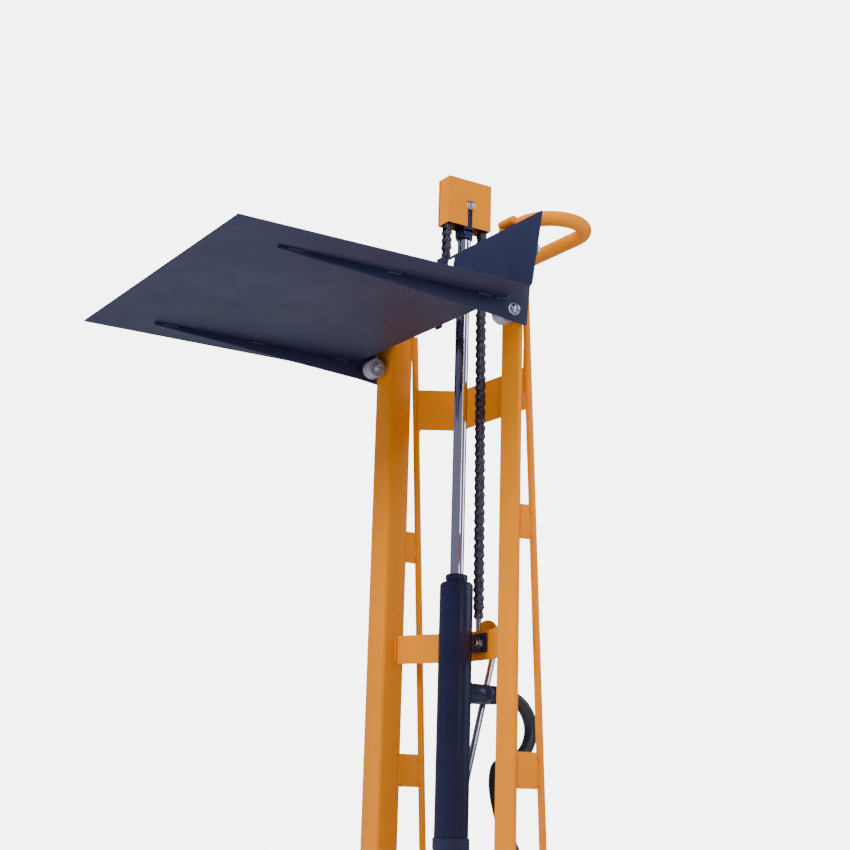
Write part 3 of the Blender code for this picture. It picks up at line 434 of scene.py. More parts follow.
def straps():
    """The two bent flat bars that tie the uprights, and the lug behind the lower one."""
    low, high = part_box("upper_strap")[0][2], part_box("upper_strap")[1][2]
    end_y = stay_y((low + high) / 2)
    end_x = INNER + WALL / 2 - STAY_RADIUS - FIT
    path = rounded([(-end_x, end_y), (-0.133, 0.130), (0.084, 0.130), (end_x, end_y)], 0.020, 12)
    strap = Piece().plate(strip(path, WALL), high - low, PLAN_VIEW, (0, 0, (low + high) / 2), 0.0007)
    for _, sign in SIDES:
        for level in (low + 0.001, high - 0.001):
            strap.bead((sign * end_x, stay_y(level) - 0.004, level),
                       (sign * (end_x + 0.004), stay_y(level) + 0.007, level), 0.0034)
        strap.bead((sign * (end_x - 0.001), stay_y(low) + 0.001, low + 0.004),
                   (sign * (end_x - 0.001), stay_y(high) + 0.001, high - 0.004), 0.0024)
    strap.done("upper_strap_skin", ORANGE, "mast_frame", "orange_paint", "upper_strap")

    low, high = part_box("lower_strap")[0][2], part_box("lower_strap")[1][2]
    end_x, back = INNER - FIT, 0.093
    path = rounded([(-end_x, 0.034), (-0.047, back), (0.047, back), (end_x, 0.034)], 0.060, 14)
    strap = Piece().plate(strip(path, WALL), high - low, PLAN_VIEW, (0, 0, (low + high) / 2), 0.0007)
    for _, sign in SIDES:
        weld_x = sign * (end_x - 0.001)
        for y in (0.0275, 0.0365):
            strap.bead((weld_x, y, low + 0.003), (weld_x, y, high - 0.003), 0.0024)
    strap.done("lower_strap_skin", ORANGE, "mast_frame", "orange_paint", "lower_strap")

    lug_y = 0.109
    outline = [(-0.042, 0.770), (0.042, 0.770)] + arc((0, 0.788), 0.042, 0, 180, 40)
    lug = Piece().plate(outline, 0.004, FRONT_VIEW, (0, lug_y, 0), 0.0008)
    for _, sign in SIDES:
        x = sorted((sign * 0.038, sign * 0.042))
        lug.box((x[0], 0.0933, 0.772), (x[1], lug_y, 0.800), 0.0005)
        lug.bead((sign * 0.040, 0.0945, 0.774), (sign * 0.040, 0.0945, 0.799), 0.0028)
    lug.box((-0.041, lug_y, 0.776), (-0.019, 0.164, 0.790), 0.0015)
    lug.done("rear_lug_skin", ORANGE, "mast_frame", "orange_paint", "rear_lug")


def handle():
    """The push handle: one tube, bent round at both ends, with its front ends welded to the uprights."""
    radius = 0.0134
    height = TOP + FIT + radius
    front, rear, bend_x, end_x = 0.024, 0.147, 0.211, 0.158
    middle, turn = (front + rear) / 2, (rear - front) / 2
    right = [(end_x, front)] + arc((bend_x, middle), turn, -90, 90, 40)
    plan = right + [(-x, y) for x, y in right[::-1]]
    tube = Piece().tube([(x, y, height) for x, y in plan], radius, 32)
    for _, sign in SIDES:
        tube.lathe([(0.0, 0.0012), (0.008, 0.0008), (radius - 0.0004, 0.0)], (sign * end_x, front, height),
                   (-sign, 0, 0), 32, closed=False)
        for weld_x in (sign * (INNER - 0.002), sign * (INNER + 0.007)):
            tube.bead((weld_x, front - 0.009, TOP + 0.002), (weld_x, front + 0.011, TOP + 0.002), 0.0030)
    tube.done("handle_tube", ORANGE, "mast_frame", "orange_paint", "push_handle", smooth=60)


# ---------------------------------------------------------------- cylinder, rod and hose
def cylinder():
    foot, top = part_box("lift_cylinder")[0][2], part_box("lift_cylinder")[1][2]
    r, bore = CYLINDER_RADIUS, 0.0185
    tube = Piece().lathe([(bore, top), (r - 0.0045, top), (r - 0.0038, top - 0.0004),
                          (r - 0.0004, top - 0.0040), (r, top - 0.0052), (r, top - 0.030),
                          (r - 0.0004, top - 0.0305), (r - 0.0004, top - 0.0315), (r, top - 0.032),
                          (r, foot + 0.002), (r - 0.002, foot), (bore, foot)], (0, RAM_Y, 0), steps=64)
    tube.tube([(r * math.cos(a) * 1.02, RAM_Y + r * math.sin(a) * 1.02, foot + 0.0025)
               for a in (math.tau * k / 90 for k in range(91))], 0.0032, 10, 0.12)
    tube.done("cylinder_tube", GLOSS_BLACK, "mast_frame", "black_paint", "lift_cylinder")

    low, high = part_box("cylinder_gland")[0][2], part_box("cylinder_gland")[1][2]
    gland = Piece().lathe([(0.0133, high - 0.0015), (0.0150, high), (0.0185, high), (0.0200, high - 0.0014),
                           (0.0200, low + 0.004), (0.0192, low + 0.0032), (0.0192, low), (0.0133, low)],
                          (0, RAM_Y, 0), steps=56)
    gland.done("gland_nut", GLOSS_BLACK, "mast_frame", "black_paint", "cylinder_gland")
    wiper = Piece().lathe([(0.0129, high + 0.0012), (0.0145, high + 0.0006), (0.0147, high - 0.001),
                           (0.0129, high - 0.001)], (0, RAM_Y, 0), steps=48)
    wiper.done("rod_wiper", RUBBER, "mast_frame", "rubber")

    low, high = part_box("ram_rod")[0][2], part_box("ram_rod")[1][2]
    rod = Piece().lathe([(0.0, high), (0.0105, high), (ROD_RADIUS, high - 0.0025),
                         (ROD_RADIUS, low + 0.002), (0.0105, low), (0.0, low)], (0, RAM_Y, 0), steps=64)
    rod.done("rod_chromed", CHROME, "ram", "chrome", "ram_rod")


def hose():
    """The welded socket on the cylinder, its ribbed fitting, and the hose looping down to the tank."""
    r, weld = CYLINDER_RADIUS, 0.0188
    socket = Piece().rod((0, RAM_Y + 0.022, PORT_Z), (0, 0.096, PORT_Z), 0.0182, 48, 0.0008)
    socket.rod((0, 0.0955, PORT_Z), (0, 0.1165, PORT_Z), 0.0182, 6, 0.0012)
    socket.rod((0, 0.116, PORT_Z), (0, 0.137, PORT_Z), 0.0160, 48, 0.0016)
    for y in (0.120, 0.1245, 0.129):
        socket.lathe([(0.0150, 0.001), (0.0168, 0.0008), (0.0168, -0.0008), (0.0150, -0.001)],
                     (0, y, PORT_Z), (0, 1, 0))
    around = (math.tau * k / 60 for k in range(61))
    socket.tube([(weld * math.cos(a), RAM_Y + math.sqrt(r * r - (weld * math.cos(a)) ** 2) + 0.0006,
                  PORT_Z + weld * math.sin(a)) for a in around], 0.0026, 10, 0.14)
    socket.done("hose_fitting", GLOSS_BLACK, "mast_frame", "black_paint", "hose_socket")

    bend, bend_y = 0.0595, 0.150
    loop = [(0, 0.1373, PORT_Z)] + [(0, y, z) for y, z in arc((bend_y, PORT_Z - bend), bend, 90, -90, 32)]
    drop = [(0.006, 0.131, 0.566), (0.018, 0.122, 0.526), (0.028, 0.134, 0.465), (0.032, 0.163, 0.405),
            (0.032, 0.184, 0.362), (0.032, 0.188, 0.331)]
    path = loop[:-1] + spline([loop[-1], *drop], 8)
    Piece().tube(path, 0.012, 28).done("hose_tube", HOSE, "mast_frame", "rubber", "hydraulic_hose", smooth=60)
    ferrule = Piece().lathe([(0.0122, 0.372), (0.0145, 0.371), (0.0145, 0.345), (0.0170, 0.344),
                             (0.0170, 0.3312), (0.0122, 0.3312)], (0.032, 0.188, 0), steps=40)
    ferrule.done("hose_ferrule", ZINC, "mast_frame", "zinc_plate")


def brace():
    """The zinc rod behind the cylinder, its clamp, and the strap's bracket and bolt."""
    Piece().rod((BRACE_X, 0.154, 0.809), (BRACE_X, 0.0677, 0.450), 0.006, 32, 0.0010).done(
        "brace_rod", ZINC, "mast_frame", "zinc_plate", "tie_rod")
    clamp = Piece().lathe([(0.0303, 0.448), (0.0320, 0.448), (0.0325, 0.4475), (0.0325, 0.4285),
                           (0.0320, 0.428), (0.0303, 0.428)], (0, RAM_Y, 0), steps=56)
    clamp.box((BRACE_X - 0.010, RAM_Y + 0.020, 0.429), (BRACE_X + 0.0025, RAM_Y + 0.040, 0.447), 0.0015)
    clamp.done("clamp_ring", BLACK, "mast_frame", "black_paint", "cylinder_clamp")

    low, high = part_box("cylinder_bracket")
    y0, y1 = low[1] - MAST_Y, high[1] - MAST_Y
    bracket = Piece().box((low[0], y0, low[2]), (high[0], y1, high[2]), 0.0012)
    bracket.done("bracket_plate", BLACK, "mast_frame", "black_paint", "cylinder_bracket")
    x, z = 0.015, 0.786
    rear_nut = 0.0945
    bolt = Piece().hexagon((x, y0 - 0.0065, z), (x, y0 - 0.0016, z), 0.0088)
    bolt.rod((x, y0 - 0.0016, z), (x, y0 - FIT, z), 0.0100, 36, FINE_EDGE)
    bolt.rod((x, y0 - 0.0105, z), (x, rear_nut + 0.0105, z), 0.0050, 28, 0.0008)
    bolt.hexagon((x, rear_nut, z), (x, rear_nut + 0.0065, z), 0.0088)
    bolt.rod((x, rear_nut - 0.0012, z), (x, rear_nut, z), 0.0100, 36, FINE_EDGE)
    bolt.done("bracket_fastener", ZINC, "mast_frame", "zinc_plate", "bracket_bolt")

    outline = [(-0.0050, 0.8093), (0.0050, 0.8093), (0.0055, 0.826)]
    outline += arc((0, CHAIN_EYE[1]), 0.0068, -30, 210, 20) + [(-0.0055, 0.826)]
    stud = Piece().plate(outline, 0.0060, FRONT_VIEW, (0, CHAIN_EYE[0], 0), 0.0010)
    stud.done("chain_eye", ZINC, "mast_frame", "zinc_plate", "chain_stud")


# ---------------------------------------------------------------- chain, pulley and guard
def link_outline():
    """Figure-of-eight side plate of one link, lying along +v from one pin to the next."""
    radius, waist = 0.0070, 0.0050
    low = arc((0, 0), radius, 150, 390, 14)
    high = arc((0, PITCH), radius, -30, 210, 14)
    return low + [(waist, PITCH / 2)] + high + [(-waist, PITCH / 2)]


def chain(pins):
    """Links through a list of (y, z) pins: inner and outer plates by turns, with rollers and pin ends."""
    piece = Piece()
    outline = link_outline()
    for index, (start, end) in enumerate(zip(pins, pins[1:])):
        along = Vector((end[0] - start[0], end[1] - start[1]))
        angle = math.atan2(-along.x, along.y)
        shape = [(start[0] + u * math.cos(angle) - v * math.sin(angle) * along.length / PITCH,
                  start[1] + u * math.sin(angle) + v * math.cos(angle) * along.length / PITCH)
                 for u, v in outline]
        inner = index % 2 == 0
        offset = 0.0056 if inner else 0.0076
        for sign in (-1, 1):
            piece.plate(shape, 0.0016, SIDE_VIEW, (sign * offset, 0, 0), FINE_EDGE)
        if inner:
            for y, z in (start, end):
                piece.rod((-0.0048, y, z), (0.0048, y, z), 0.0050, 18, FINE_EDGE)
    for y, z in pins:
        piece.rod((-0.0098, y, z), (0.0098, y, z), 0.0026, 12, 0.0004)
    return piece


def along_line(start, end, count):
    return [(start[0] + (end[0] - start[0]) * i / count, start[1] + (end[1] - start[1]) * i / count)
            for i in range(count + 1)]


def lift_chain():
    """The chain in three pieces: both straight runs have no body and stay where they are built, the turn
    rides the ram.
    """
    rear_y = RAM_Y + CHAIN_RADIUS
    count = round((PULLEY_Z - CHAIN_EYE[1]) / PITCH)
    rear = chain(along_line(CHAIN_EYE, (rear_y, PULLEY_Z), count))
    rear = rear.done("chain_links_rear", CHAIN, None, "chain_steel", "chain_rear_run")
    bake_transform(rear)
    turn = arc((RAM_Y, PULLEY_Z), CHAIN_RADIUS, 0, 180, 8)
    chain(turn).done("chain_links_top", CHAIN, "ram", "chain_steel", "chain_over_pulley")
    front = chain(along_line(CHAIN_TAB, (RAM_Y - CHAIN_RADIUS, PULLEY_Z), 7))
    front = front.done("chain_links_front", CHAIN, None, "chain_steel", "chain_front_run")
    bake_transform(front)


def pulley():
    """The chain wheel, the pin that it turns on, and the ram's fork."""
    root = 0.0316
    profile = [(0.0056, 0.0106), (0.012, 0.0106), (0.013, 0.0098), (root + 0.001, 0.0098),
               (root + 0.002, 0.0106), (root + 0.005, 0.0104), (root + 0.0052, 0.0096), (root, 0.0092)]
    profile += [(radius, -height) for radius, height in reversed(profile)]
    Piece().lathe(profile, (0, RAM_Y, PULLEY_Z), (1, 0, 0), 64).done(
        "pulley_wheel", CHAIN, "pulley", "chain_steel", "chain_pulley")

    half = 0.0186
    pin = Piece().rod((-half, RAM_Y, PULLEY_Z), (half, RAM_Y, PULLEY_Z), 0.005, 32, 0.0005)
    for sign in (-1, 1):
        face = sign * (half + FIT)
        nut = face + sign * 0.0014
        pin.rod((face, RAM_Y, PULLEY_Z), (nut, RAM_Y, PULLEY_Z), 0.0095, 36, FINE_EDGE)
        pin.hexagon((nut, RAM_Y, PULLEY_Z), (face + sign * 0.0055, RAM_Y, PULLEY_Z), 0.0085)
        pin.lathe([(0.0, 0.0048), (0.003, 0.0044), (0.0055, 0.0026), (0.0066, 0.0)],
                  (face + sign * 0.0050, RAM_Y, PULLEY_Z), (sign, 0, 0), 36, closed=False)
    pin.done("pulley_axle", ZINC, "ram", "zinc_plate", "pulley_pin")

    arm_out, arm_in = 0.0162, 0.0112
    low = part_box("ram_clevis")[0][2]
    head = arc((RAM_Y, PULLEY_Z), 0.011, 0, 180, 24)
    clevis = Piece()
    for sign in (-1, 1):
        side = [(RAM_Y - 0.011, low + 0.012), *head[::-1], (RAM_Y + 0.011, low + 0.012)]
        clevis.plate(side, arm_out - arm_in, SIDE_VIEW, (sign * (arm_out + arm_in) / 2, 0, 0), 0.0007)
    clevis.box((-arm_out, RAM_Y - 0.011, low + 0.006), (arm_out, RAM_Y + 0.011, low + 0.018), 0.0010)
    clevis.lathe([(0.0, low + 0.008), (0.0152, low + 0.008), (0.0160, low + 0.007),
                  (0.0160, low + 0.001), (0.0150, low), (0.0, low)], (0, RAM_Y, 0), steps=48)
    clevis.done("clevis_fork", BLACK, "ram", "black_paint", "ram_clevis")


# ---------------------------------------------------------------- carriage
def back_y(z):
    """The y of the leaning back plate at a height."""
    return PLATFORM_REAR + BACK_LEAN * (z - PLATFORM_TOP) / BACK_HEIGHT


def platform():
    """The folded sheet: platform and back plate in one, with the window that the chain passes."""
    top = PLATFORM_TOP + BACK_HEIGHT
    path = rounded([(PLATFORM_FRONT, PLATFORM_TOP), (PLATFORM_REAR, PLATFORM_TOP), (back_y(top), top)],
                   0.0075, 14)
    tray = Piece().plate(strip(path, SHEET), 2 * PLATFORM_HALF, SIDE_VIEW, (0, 0, 0), 0.0006)
    tray = tray.done("platform_sheet", BLACK, "carriage", "black_paint", "platform")
    side, low, high = 0.059, 1.405, top - 0.005
    cutter = Piece().box((-side, -0.060, low), (side, 0.020, high), 0.004)
    mesh = bpy.data.meshes.new("window_cutter")
    cutter.bm.to_mesh(mesh)
    cutter.bm.free()
    tool = bpy.data.objects.new("window_cutter", mesh)
    bpy.context.scene.collection.objects.link(tool)
    window = tray.modifiers.new("window", "BOOLEAN")
    window.solver = "EXACT"
    window.object = tool
    graph = bpy.context.evaluated_depsgraph_get()
    cut = bpy.data.meshes.new_from_object(tray.evaluated_get(graph))
    tray.modifiers.clear()
    tray.data = cut
    cut.shade_smooth()
    cut.set_sharp_from_angle(angle=math.radians(SHADING_ANGLE))
    bpy.data.objects.remove(tool)


def side_plates():
    """Each side plate with the long rib under the platform, and its welds to the folded sheet."""
    under, clear = PLATFORM_TOP - SHEET - FIT, 0.0045
    for name, sign in SIDES:
        outline = [(-0.470, under - 0.006), (-0.035, 1.3130), (0.009, 1.3075), (0.0165, 1.384),
                   (0.020, 1.428)]
        outline += arc((0.0240, UPPER_ROLLER_Z), 0.0125, -60, 90, 20)
        outline += [(back_y(1.466) + clear + 0.002, 1.466), (back_y(1.362) + clear, 1.362),
                    (PLATFORM_REAR + clear, under + 0.004), (-0.037, under), (-0.470, under)]
        x = sign * SIDE_PLATE_X
        plate = Piece().plate(outline, WALL, SIDE_VIEW, (x, 0, 0), 0.0008)
        for start in (-0.455, -0.275, -0.095):
            for edge in (-1, 1):
                face = x + edge * 0.0032
                plate.bead((face, start, under - 0.0010), (face, start + 0.030, under - 0.0010), 0.0026)
        corner = [(-0.056, under - 0.0005), (-0.040, under - 0.0005), (-0.0345, under + 0.0015),
                  (-0.0325, under + 0.007), (back_y(1.372) + clear - 0.001, 1.372)]
        for edge in (-1, 1):
            plate.tube([(x + edge * 0.0022, y, z) for y, z in corner], 0.0030, 10)
        for z in (1.385, 1.440):
            for edge in (-1, 1):
                plate.bead((x + edge * 0.0032, back_y(z) + clear - 0.0008, z),
                           (x + edge * 0.0032, back_y(z + 0.022) + clear - 0.0008, z + 0.022), 0.0024)
        plate.done("carriage_plate_" + name, BLACK, "carriage", "black_paint", "side_plate_" + name)


def cross_bar():
    """The bar between the side plates, with the post and tab that the chain pulls."""
    end = SIDE_PLATE_X - WALL / 2 - FIT
    front, rear, low, high = -0.0188, -0.0135, 1.366, 1.396
    bar = Piece().box((-end, front, low), (end, rear, high), 0.0007)
    bar.box((-0.0090, rear - 0.0004, low - 0.006), (0.0090, rear + 0.0050, 1.498), 0.0007)
    tab = [(-0.0100, 1.484), (0.0040, 1.484), (0.0055, 1.503)] + arc(CHAIN_TAB, 0.0062, -20, 180, 14)
    bar.plate(tab, 0.0070, SIDE_VIEW, (0, 0, 0), 0.0006)
    for sign in (-1, 1):
        bar.bead((sign * 0.0095, rear + 0.0005, low), (sign * 0.0095, rear + 0.0005, high - 0.001), 0.0022)
    bar.done("carriage_cross_bar", BLACK, "carriage", "black_paint", "carriage_bar")


ROLLER_INNER = 0.208            # x of a roller's inner face
ROLLER_WIDTH = 0.026
ROLLER_RADIUS = 0.0187


def rollers():
    """Four nylon rollers: the lower pair in front of the flanges, the upper pair behind them."""
    half, radius = ROLLER_WIDTH / 2, ROLLER_RADIUS
    profile = [(0.0066, half - 0.001), (0.0085, half), (0.0095, half - 0.0012), (0.0145, half - 0.0012),
               (0.0155, half), (radius - 0.0018, half), (radius - 0.0006, half - 0.0005),
               (radius, half - 0.0020)]
    profile += [(r, -h) for r, h in reversed(profile)]
    for side, sign in SIDES:
        for level, y, z in (("lower", -radius - FIT, LOWER_ROLLER_Z),
                            ("upper", WALL + radius + FIT, UPPER_ROLLER_Z)):
            name = "%s_roller_%s" % (level, side)
            Piece().lathe(profile, (sign * (ROLLER_INNER + half), y, z), (1, 0, 0), 56).done(
                name + "_wheel", NYLON, name, "nylon", name)
            roller_bolt(name, "%s_roller_bolt_%s" % (level, side), sign, y, z, level == "upper")


def roller_bolt(name, node, sign, y, z, low_head):
    """Head, spacer and washers on a roller's axis, ending in a low head or in a lock nut."""
    def along(x):
        return (sign * x, y, z)

    plate_in, plate_out = SIDE_PLATE_X - WALL / 2, SIDE_PLATE_X + WALL / 2
    head, washer, tip = ROLLER_INNER - 0.007, ROLLER_INNER - 0.0018, ROLLER_INNER - 0.002
    bolt = Piece().hexagon(along(head), along(washer), 0.0092)
    bolt.rod(along(washer), along(ROLLER_INNER - 0.0004), 0.0108, 40, FINE_EDGE)
    bolt.lathe([(0.0030, 0.0), (0.0036, 0.0006), (0.0046, 0.0006), (0.0052, 0.0)],
               along(head), (-sign, 0, 0), 32)
    bolt.rod(along(ROLLER_INNER + ROLLER_WIDTH + FIT), along(plate_in - FIT), 0.0085, 36, 0.0006)
    seat, end = plate_out + 0.0017, plate_out + 0.0078
    bolt.rod(along(plate_out + FIT), along(seat), 0.0112, 40, FINE_EDGE)
    if low_head:
        bolt.rod(along(tip), along(plate_out + 0.0030), 0.0058, 32, 0.0005)
        bolt.rod(along(seat), along(plate_out + 0.0034), 0.0090, 40, 0.0007)
    else:
        bolt.rod(along(tip), along(plate_out + 0.0105), 0.0058, 32, 0.0010)
        bolt.hexagon(along(seat), along(end), 0.0095)
        bolt.lathe([(0.0060, 0.0018), (0.0068, 0.0021), (0.0078, 0.0012), (0.0082, -0.0005)],
                   along(end), (sign, 0, 0), 36, closed=False)
    bolt.done(name + "_fastener", ZINC, "carriage", "zinc_plate", node)
    if not low_head:
        ring = [(0.0059, 0.0022), (0.0064, 0.0024), (0.0068, 0.0021), (0.0068, -0.001), (0.0059, -0.001)]
        Piece().lathe(ring, along(end), (sign, 0, 0), 32).done(
            name + "_lock_ring", BLUE_RING, "carriage", "zinc_plate")


# ---------------------------------------------------------------- base, wheels and pump
def rolling_wheels():
    """Tread and hub of each front and caster wheel; a wheel's node and body share one name."""
    for side, sign in SIDES:
        for name, radius, half, tread, slot_name in (
                ("front_wheel_" + side, 0.035, 0.015, NYLON, "nylon"),
                ("caster_wheel_" + side, 0.050, 0.018, RUBBER, "rubber")):
            low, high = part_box(name)
            centre = [(a + b) / 2 for a, b in zip(low, high)]
            centre[1] -= MAST_Y
            rim = radius - 0.012
            outer = [(rim, half - 0.003), (rim + 0.002, half - 0.001), (radius - 0.005, half - 0.0005),
                     (radius - 0.0015, half - 0.003), (radius, half - 0.006)]
            outer += [(r, -h) for r, h in reversed(outer)]
            Piece().lathe(outer, centre, (1, 0, 0), 72).done(name + "_tread", tread, name, slot_name, name)
            core = [(0.0066, half + 0.0014), (0.0125, half + 0.0014), (0.0135, half), (0.0145, half - 0.006),
                    (rim - 0.004, half - 0.006), (rim - 0.002, half - 0.003), (rim - 0.0001, half - 0.003)]
            core += [(r, -h) for r, h in reversed(core)]
            Piece().lathe(core, centre, (1, 0, 0), 64).done(name + "_hub", NYLON, name, "nylon")
        low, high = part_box("front_axle_" + side)
        y, z = (low[1] + high[1]) / 2 - MAST_Y, (low[2] + high[2]) / 2
        axle = Piece().rod((low[0] + 0.001, y, z), (high[0] - 0.001, y, z), 0.006, 32, 0.0005)
        for x, way in ((low[0], 1), (high[0], -1)):
            axle.hexagon((x, y, z), (x + way * 0.0055, y, z), 0.0102)
        axle.done("front_axle_%s_bolt" % side, ZINC, "mast_frame", "zinc_plate", "front_axle_" + side)


def casters():
    """Swivelling zinc forks under the rear deck."""
    top = 0.130 - FIT
    y, wheel_y, radius = 0.270, 0.300, 0.050
    for side, sign in SIDES:
        x = sign * 0.225
        fork = Piece().lathe([(0.0, 0.1436), (0.0065, 0.1436), (0.0075, 0.1426), (0.0075, top - 0.001),
                              (0.030, top - 0.001), (0.032, top - 0.003), (0.032, top - 0.009),
                              (0.029, top - 0.012), (0.0, top - 0.012)], (x, y, 0), steps=56)
        fork.box((x - 0.028, y - 0.022, top - 0.016), (x + 0.028, wheel_y + 0.016, top - 0.011), 0.0018)
        outline = [(y - 0.022, top - 0.0125), (wheel_y - 0.015, radius - 0.010),
                   *arc((wheel_y, radius), 0.016, 240, 360, 18), (wheel_y + 0.016, top - 0.0125)]
        for offset in (-0.026, 0.026):
            fork.plate(outline, 0.004, SIDE_VIEW, (x + offset, 0, 0), 0.0010)
        fork.rod((x - 0.034, wheel_y, radius), (x + 0.034, wheel_y, radius), 0.0058, 32, 0.0008)
        for way in (-1, 1):
            fork.hexagon((x + way * 0.0282, wheel_y, radius), (x + way * 0.0332, wheel_y, radius), 0.0095)
        fork.lathe([(0.0155, 0.0022), (0.0175, 0.0015), (0.018, 0.0), (0.009, 0.0), (0.0095, 0.0018)],
                   (x, y, 0.1382), steps=48)
        fork.done("caster_%s_fork" % side, ZINC, "caster_" + side, "zinc_plate", "caster_fork_" + side)


def base_details():
    """Welds, tank cap, valve and bolts on the base and the pump."""
    welds = Piece()
    leg_x, post_x = 0.2665, 0.144
    for _, sign in SIDES:
        welds.bead((sign * (INNER + 0.004), -0.001, 0.036), (sign * (OUTER - 0.004), -0.001, 0.036), 0.003)
        welds.bead((sign * leg_x, 0.047, 0.080), (sign * leg_x, 0.128, 0.080), 0.003)
        welds.bead((sign * leg_x, 0.0445, 0.040), (sign * leg_x, 0.0445, 0.078), 0.003)
        welds.bead((sign * post_x, 0.1325, 0.139), (sign * post_x, 0.1580, 0.139), 0.003)
    welds.bead((-0.260, 0.1305, 0.1385), (0.260, 0.1305, 0.1385), 0.0026)
    welds.done("base_welds", ORANGE, "mast_frame", "orange_paint")
    lid = 0.3302
    caps = Piece()
    caps.lathe([(0.0, lid + 0.0093), (0.010, lid + 0.0093), (0.012, lid + 0.0078), (0.012, lid + 0.0038),
                (0.015, lid + 0.0033), (0.015, lid), (0.0, lid)], (-0.028, 0.215, 0), steps=48)
    for x, y in ((-0.047, 0.173), (-0.047, 0.247), (0.047, 0.173)):
        caps.hexagon((x, y, lid), (x, y, lid + 0.0050), 0.0055)
    for y in (0.205, 0.238):
        for z in (0.170, 0.215):
            caps.hexagon((0.1122, y, z), (0.1170, y, z), 0.0075)
    caps.lathe([(0.0095, 0.2510), (0.0130, 0.2510), (0.0140, 0.2495), (0.0140, 0.2452), (0.0095, 0.2452)],
               (0.084, 0.225, 0), steps=40)
    caps.done("pump_fittings", ZINC, "mast_frame", "zinc_plate")


def carry_over():
    """CAD nodes whose shape is right: they take a full material and rounded edges."""
    finishes = {"base_plate": ORANGE, "cross_beam": ORANGE, "rear_deck": ORANGE, "leg_left": ORANGE,
                "leg_right": ORANGE, "chain_guard_left": ORANGE, "chain_guard_right": ORANGE,
                "oil_tank": BLACK, "pump_block": GLOSS_BLACK, "pump_plunger": CHROME,
                "pedal_shaft": ZINC, "foot_pedal": BLACK, "release_pedal": RED}
    for name, finish in finishes.items():
        node = NODES[name]
        node.data.materials.clear()
        node.data.materials.append(finish)
        for face in node.data.polygons:
            face.material_index = 0
        rounding = node.modifiers.new("edge_rounding", "BEVEL")
        rounding.width = 0.0007 if "guard" in name else 0.0012
        rounding.segments = 2
        rounding.limit_method = "ANGLE"
        rounding.angle_limit = math.radians(40)


# ---------------------------------------------------------------- studio
FLOOR_RADIUS = 6.0
BACKDROP_WHITE = 6.0            # brightness of the backdrop itself
BACKDROP_LIGHT = 0.26           # brightness of the light it gives the object
VIEW_PLACE = (2.269, -1.458, 0.514)
VIEW_AZIMUTH = 57.91            # degrees, as are the next two
VIEW_ELEVATION = 13.81
VIEW_ROLL = -1.60
LENS = 64.26                    # mm, on a 36 mm sensor


def area_light(name, place, aim, size, power, color=(1, 1, 1), glossy=True):
    light = bpy.data.lights.new(name, "AREA")
    light.shape = "RECTANGLE"
    light.size, light.size_y = size
    light.energy = power
    light.color = color
    lamp = bpy.data.objects.new(name, light)
    lamp.location = place
    lamp.rotation_euler = (Vector(aim) - Vector(place)).to_track_quat("-Z", "Y").to_euler()
    lamp.visible_glossy = glossy
    bpy.context.scene.collection.objects.link(lamp)


def floor():
    disc = bpy.data.meshes.new("studio_floor")
    work = bmesh.new()
    bmesh.ops.create_circle(work, cap_ends=True, segments=64, radius=FLOOR_RADIUS)
    work.to_mesh(disc)
    work.free()
    plain = Nodes("pale_floor")
    plain.link(plain.ramp(plain.noise(1.5), 0.3, 0.7, ((0.86, 0.86, 0.87), (0.90, 0.90, 0.90))),
               plain.shader.inputs["Base Color"])
    plain.set(Roughness=0.7)
    disc.materials.append(plain.mat)
    floor_object = bpy.data.objects.new("studio_floor", disc)
    floor_object.location.z = -0.0005
    bpy.context.scene.collection.objects.link(floor_object)


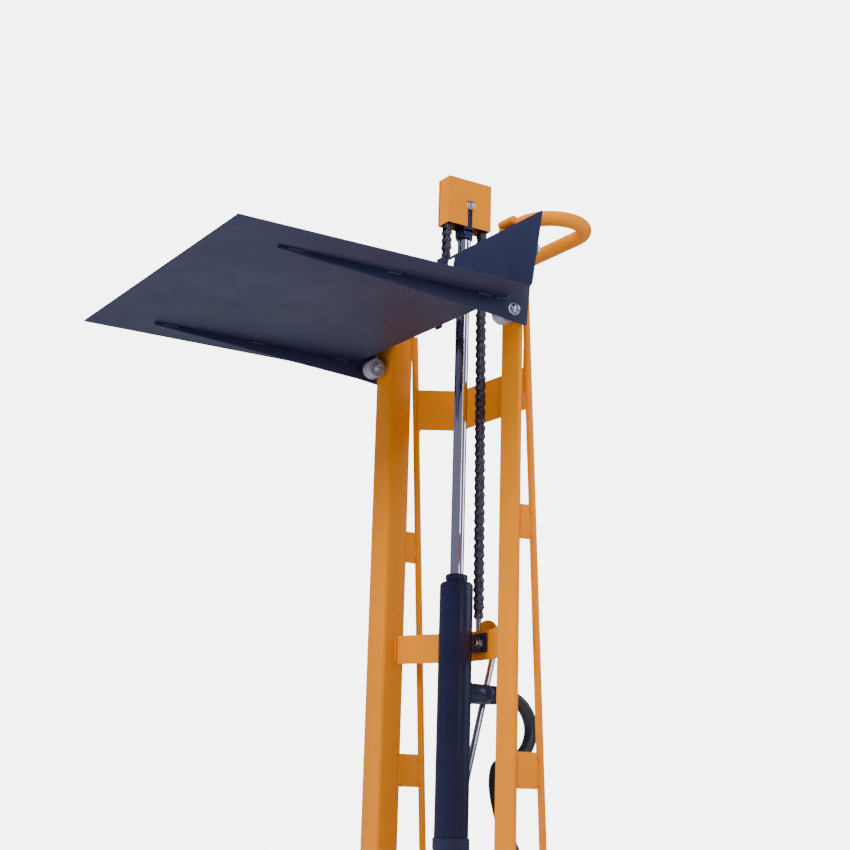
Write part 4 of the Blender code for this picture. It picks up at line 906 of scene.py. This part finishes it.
def backdrop():
    """A white backdrop, with dimmer, cooler light from it on the object."""
    world = bpy.data.worlds.new("studio")
    bpy.context.scene.world = world
    world.use_nodes = True
    tree = world.node_tree
    back = tree.nodes["Background"]
    white = tree.nodes.new("ShaderNodeBackground")
    white.inputs["Color"].default_value = (1, 1, 1, 1)
    white.inputs["Strength"].default_value = BACKDROP_WHITE
    back.inputs["Color"].default_value = (0.80, 0.84, 1.0, 1)
    back.inputs["Strength"].default_value = BACKDROP_LIGHT
    path = tree.nodes.new("ShaderNodeLightPath")
    mix = tree.nodes.new("ShaderNodeMixShader")
    tree.links.new(path.outputs["Is Camera Ray"], mix.inputs[0])
    tree.links.new(back.outputs[0], mix.inputs[1])
    tree.links.new(white.outputs[0], mix.inputs[2])
    tree.links.new(mix.outputs[0], tree.nodes["World Output"].inputs["Surface"])


def lights():
    area_light("key", (-0.3, -3.4, 3.0), (0, 0, 1.4), (1.4, 1.4), 98, glossy=False)
    area_light("low_front", (-1.2, -3.6, 0.5), (0, 0, 0.7), (1.6, 0.9), 30, glossy=False)
    area_light("fill", (3.6, 0.2, 2.1), (0, 0, 1.4), (0.9, 2.6), 46, (0.93, 0.95, 1.0))
    area_light("rim", (1.6, 3.2, 2.2), (0, 0, 1.2), (1.2, 2.2), 26)
    area_light("high_side", (2.6, -1.4, 2.7), (0, 0.1, 1.6), (1.0, 1.0), 34, (0.96, 0.97, 1.0),
               glossy=False)
    area_light("overhead", (0.6, -0.6, 4.2), (0, 0, 0), (2.5, 2.5), 70, glossy=False)


def camera():
    """A low view from the front right, looking up at the platform."""
    azimuth, elevation, roll = (math.radians(a) for a in (VIEW_AZIMUTH, VIEW_ELEVATION, VIEW_ROLL))
    forward = Vector((-math.sin(azimuth) * math.cos(elevation), math.cos(azimuth) * math.cos(elevation),
                      math.sin(elevation)))
    level = forward.cross(Vector((0, 0, 1))).normalized()
    down = forward.cross(level)
    right = level * math.cos(roll) + down * math.sin(roll)
    up = right.cross(forward)
    data = bpy.data.cameras.new("camera")
    data.sensor_width = 36.0
    data.lens = LENS
    view = bpy.data.objects.new("camera", data)
    view.matrix_world = Matrix((right, up, -forward)).transposed().to_4x4()
    view.location = at(*VIEW_PLACE)
    bpy.context.scene.collection.objects.link(view)
    bpy.context.scene.camera = view


mast()
straps()
handle()
cylinder()
hose()
brace()
lift_chain()
pulley()
platform()
side_plates()
cross_bar()
rollers()
rolling_wheels()
casters()
base_details()
carry_over()
floor()
backdrop()
lights()
camera()
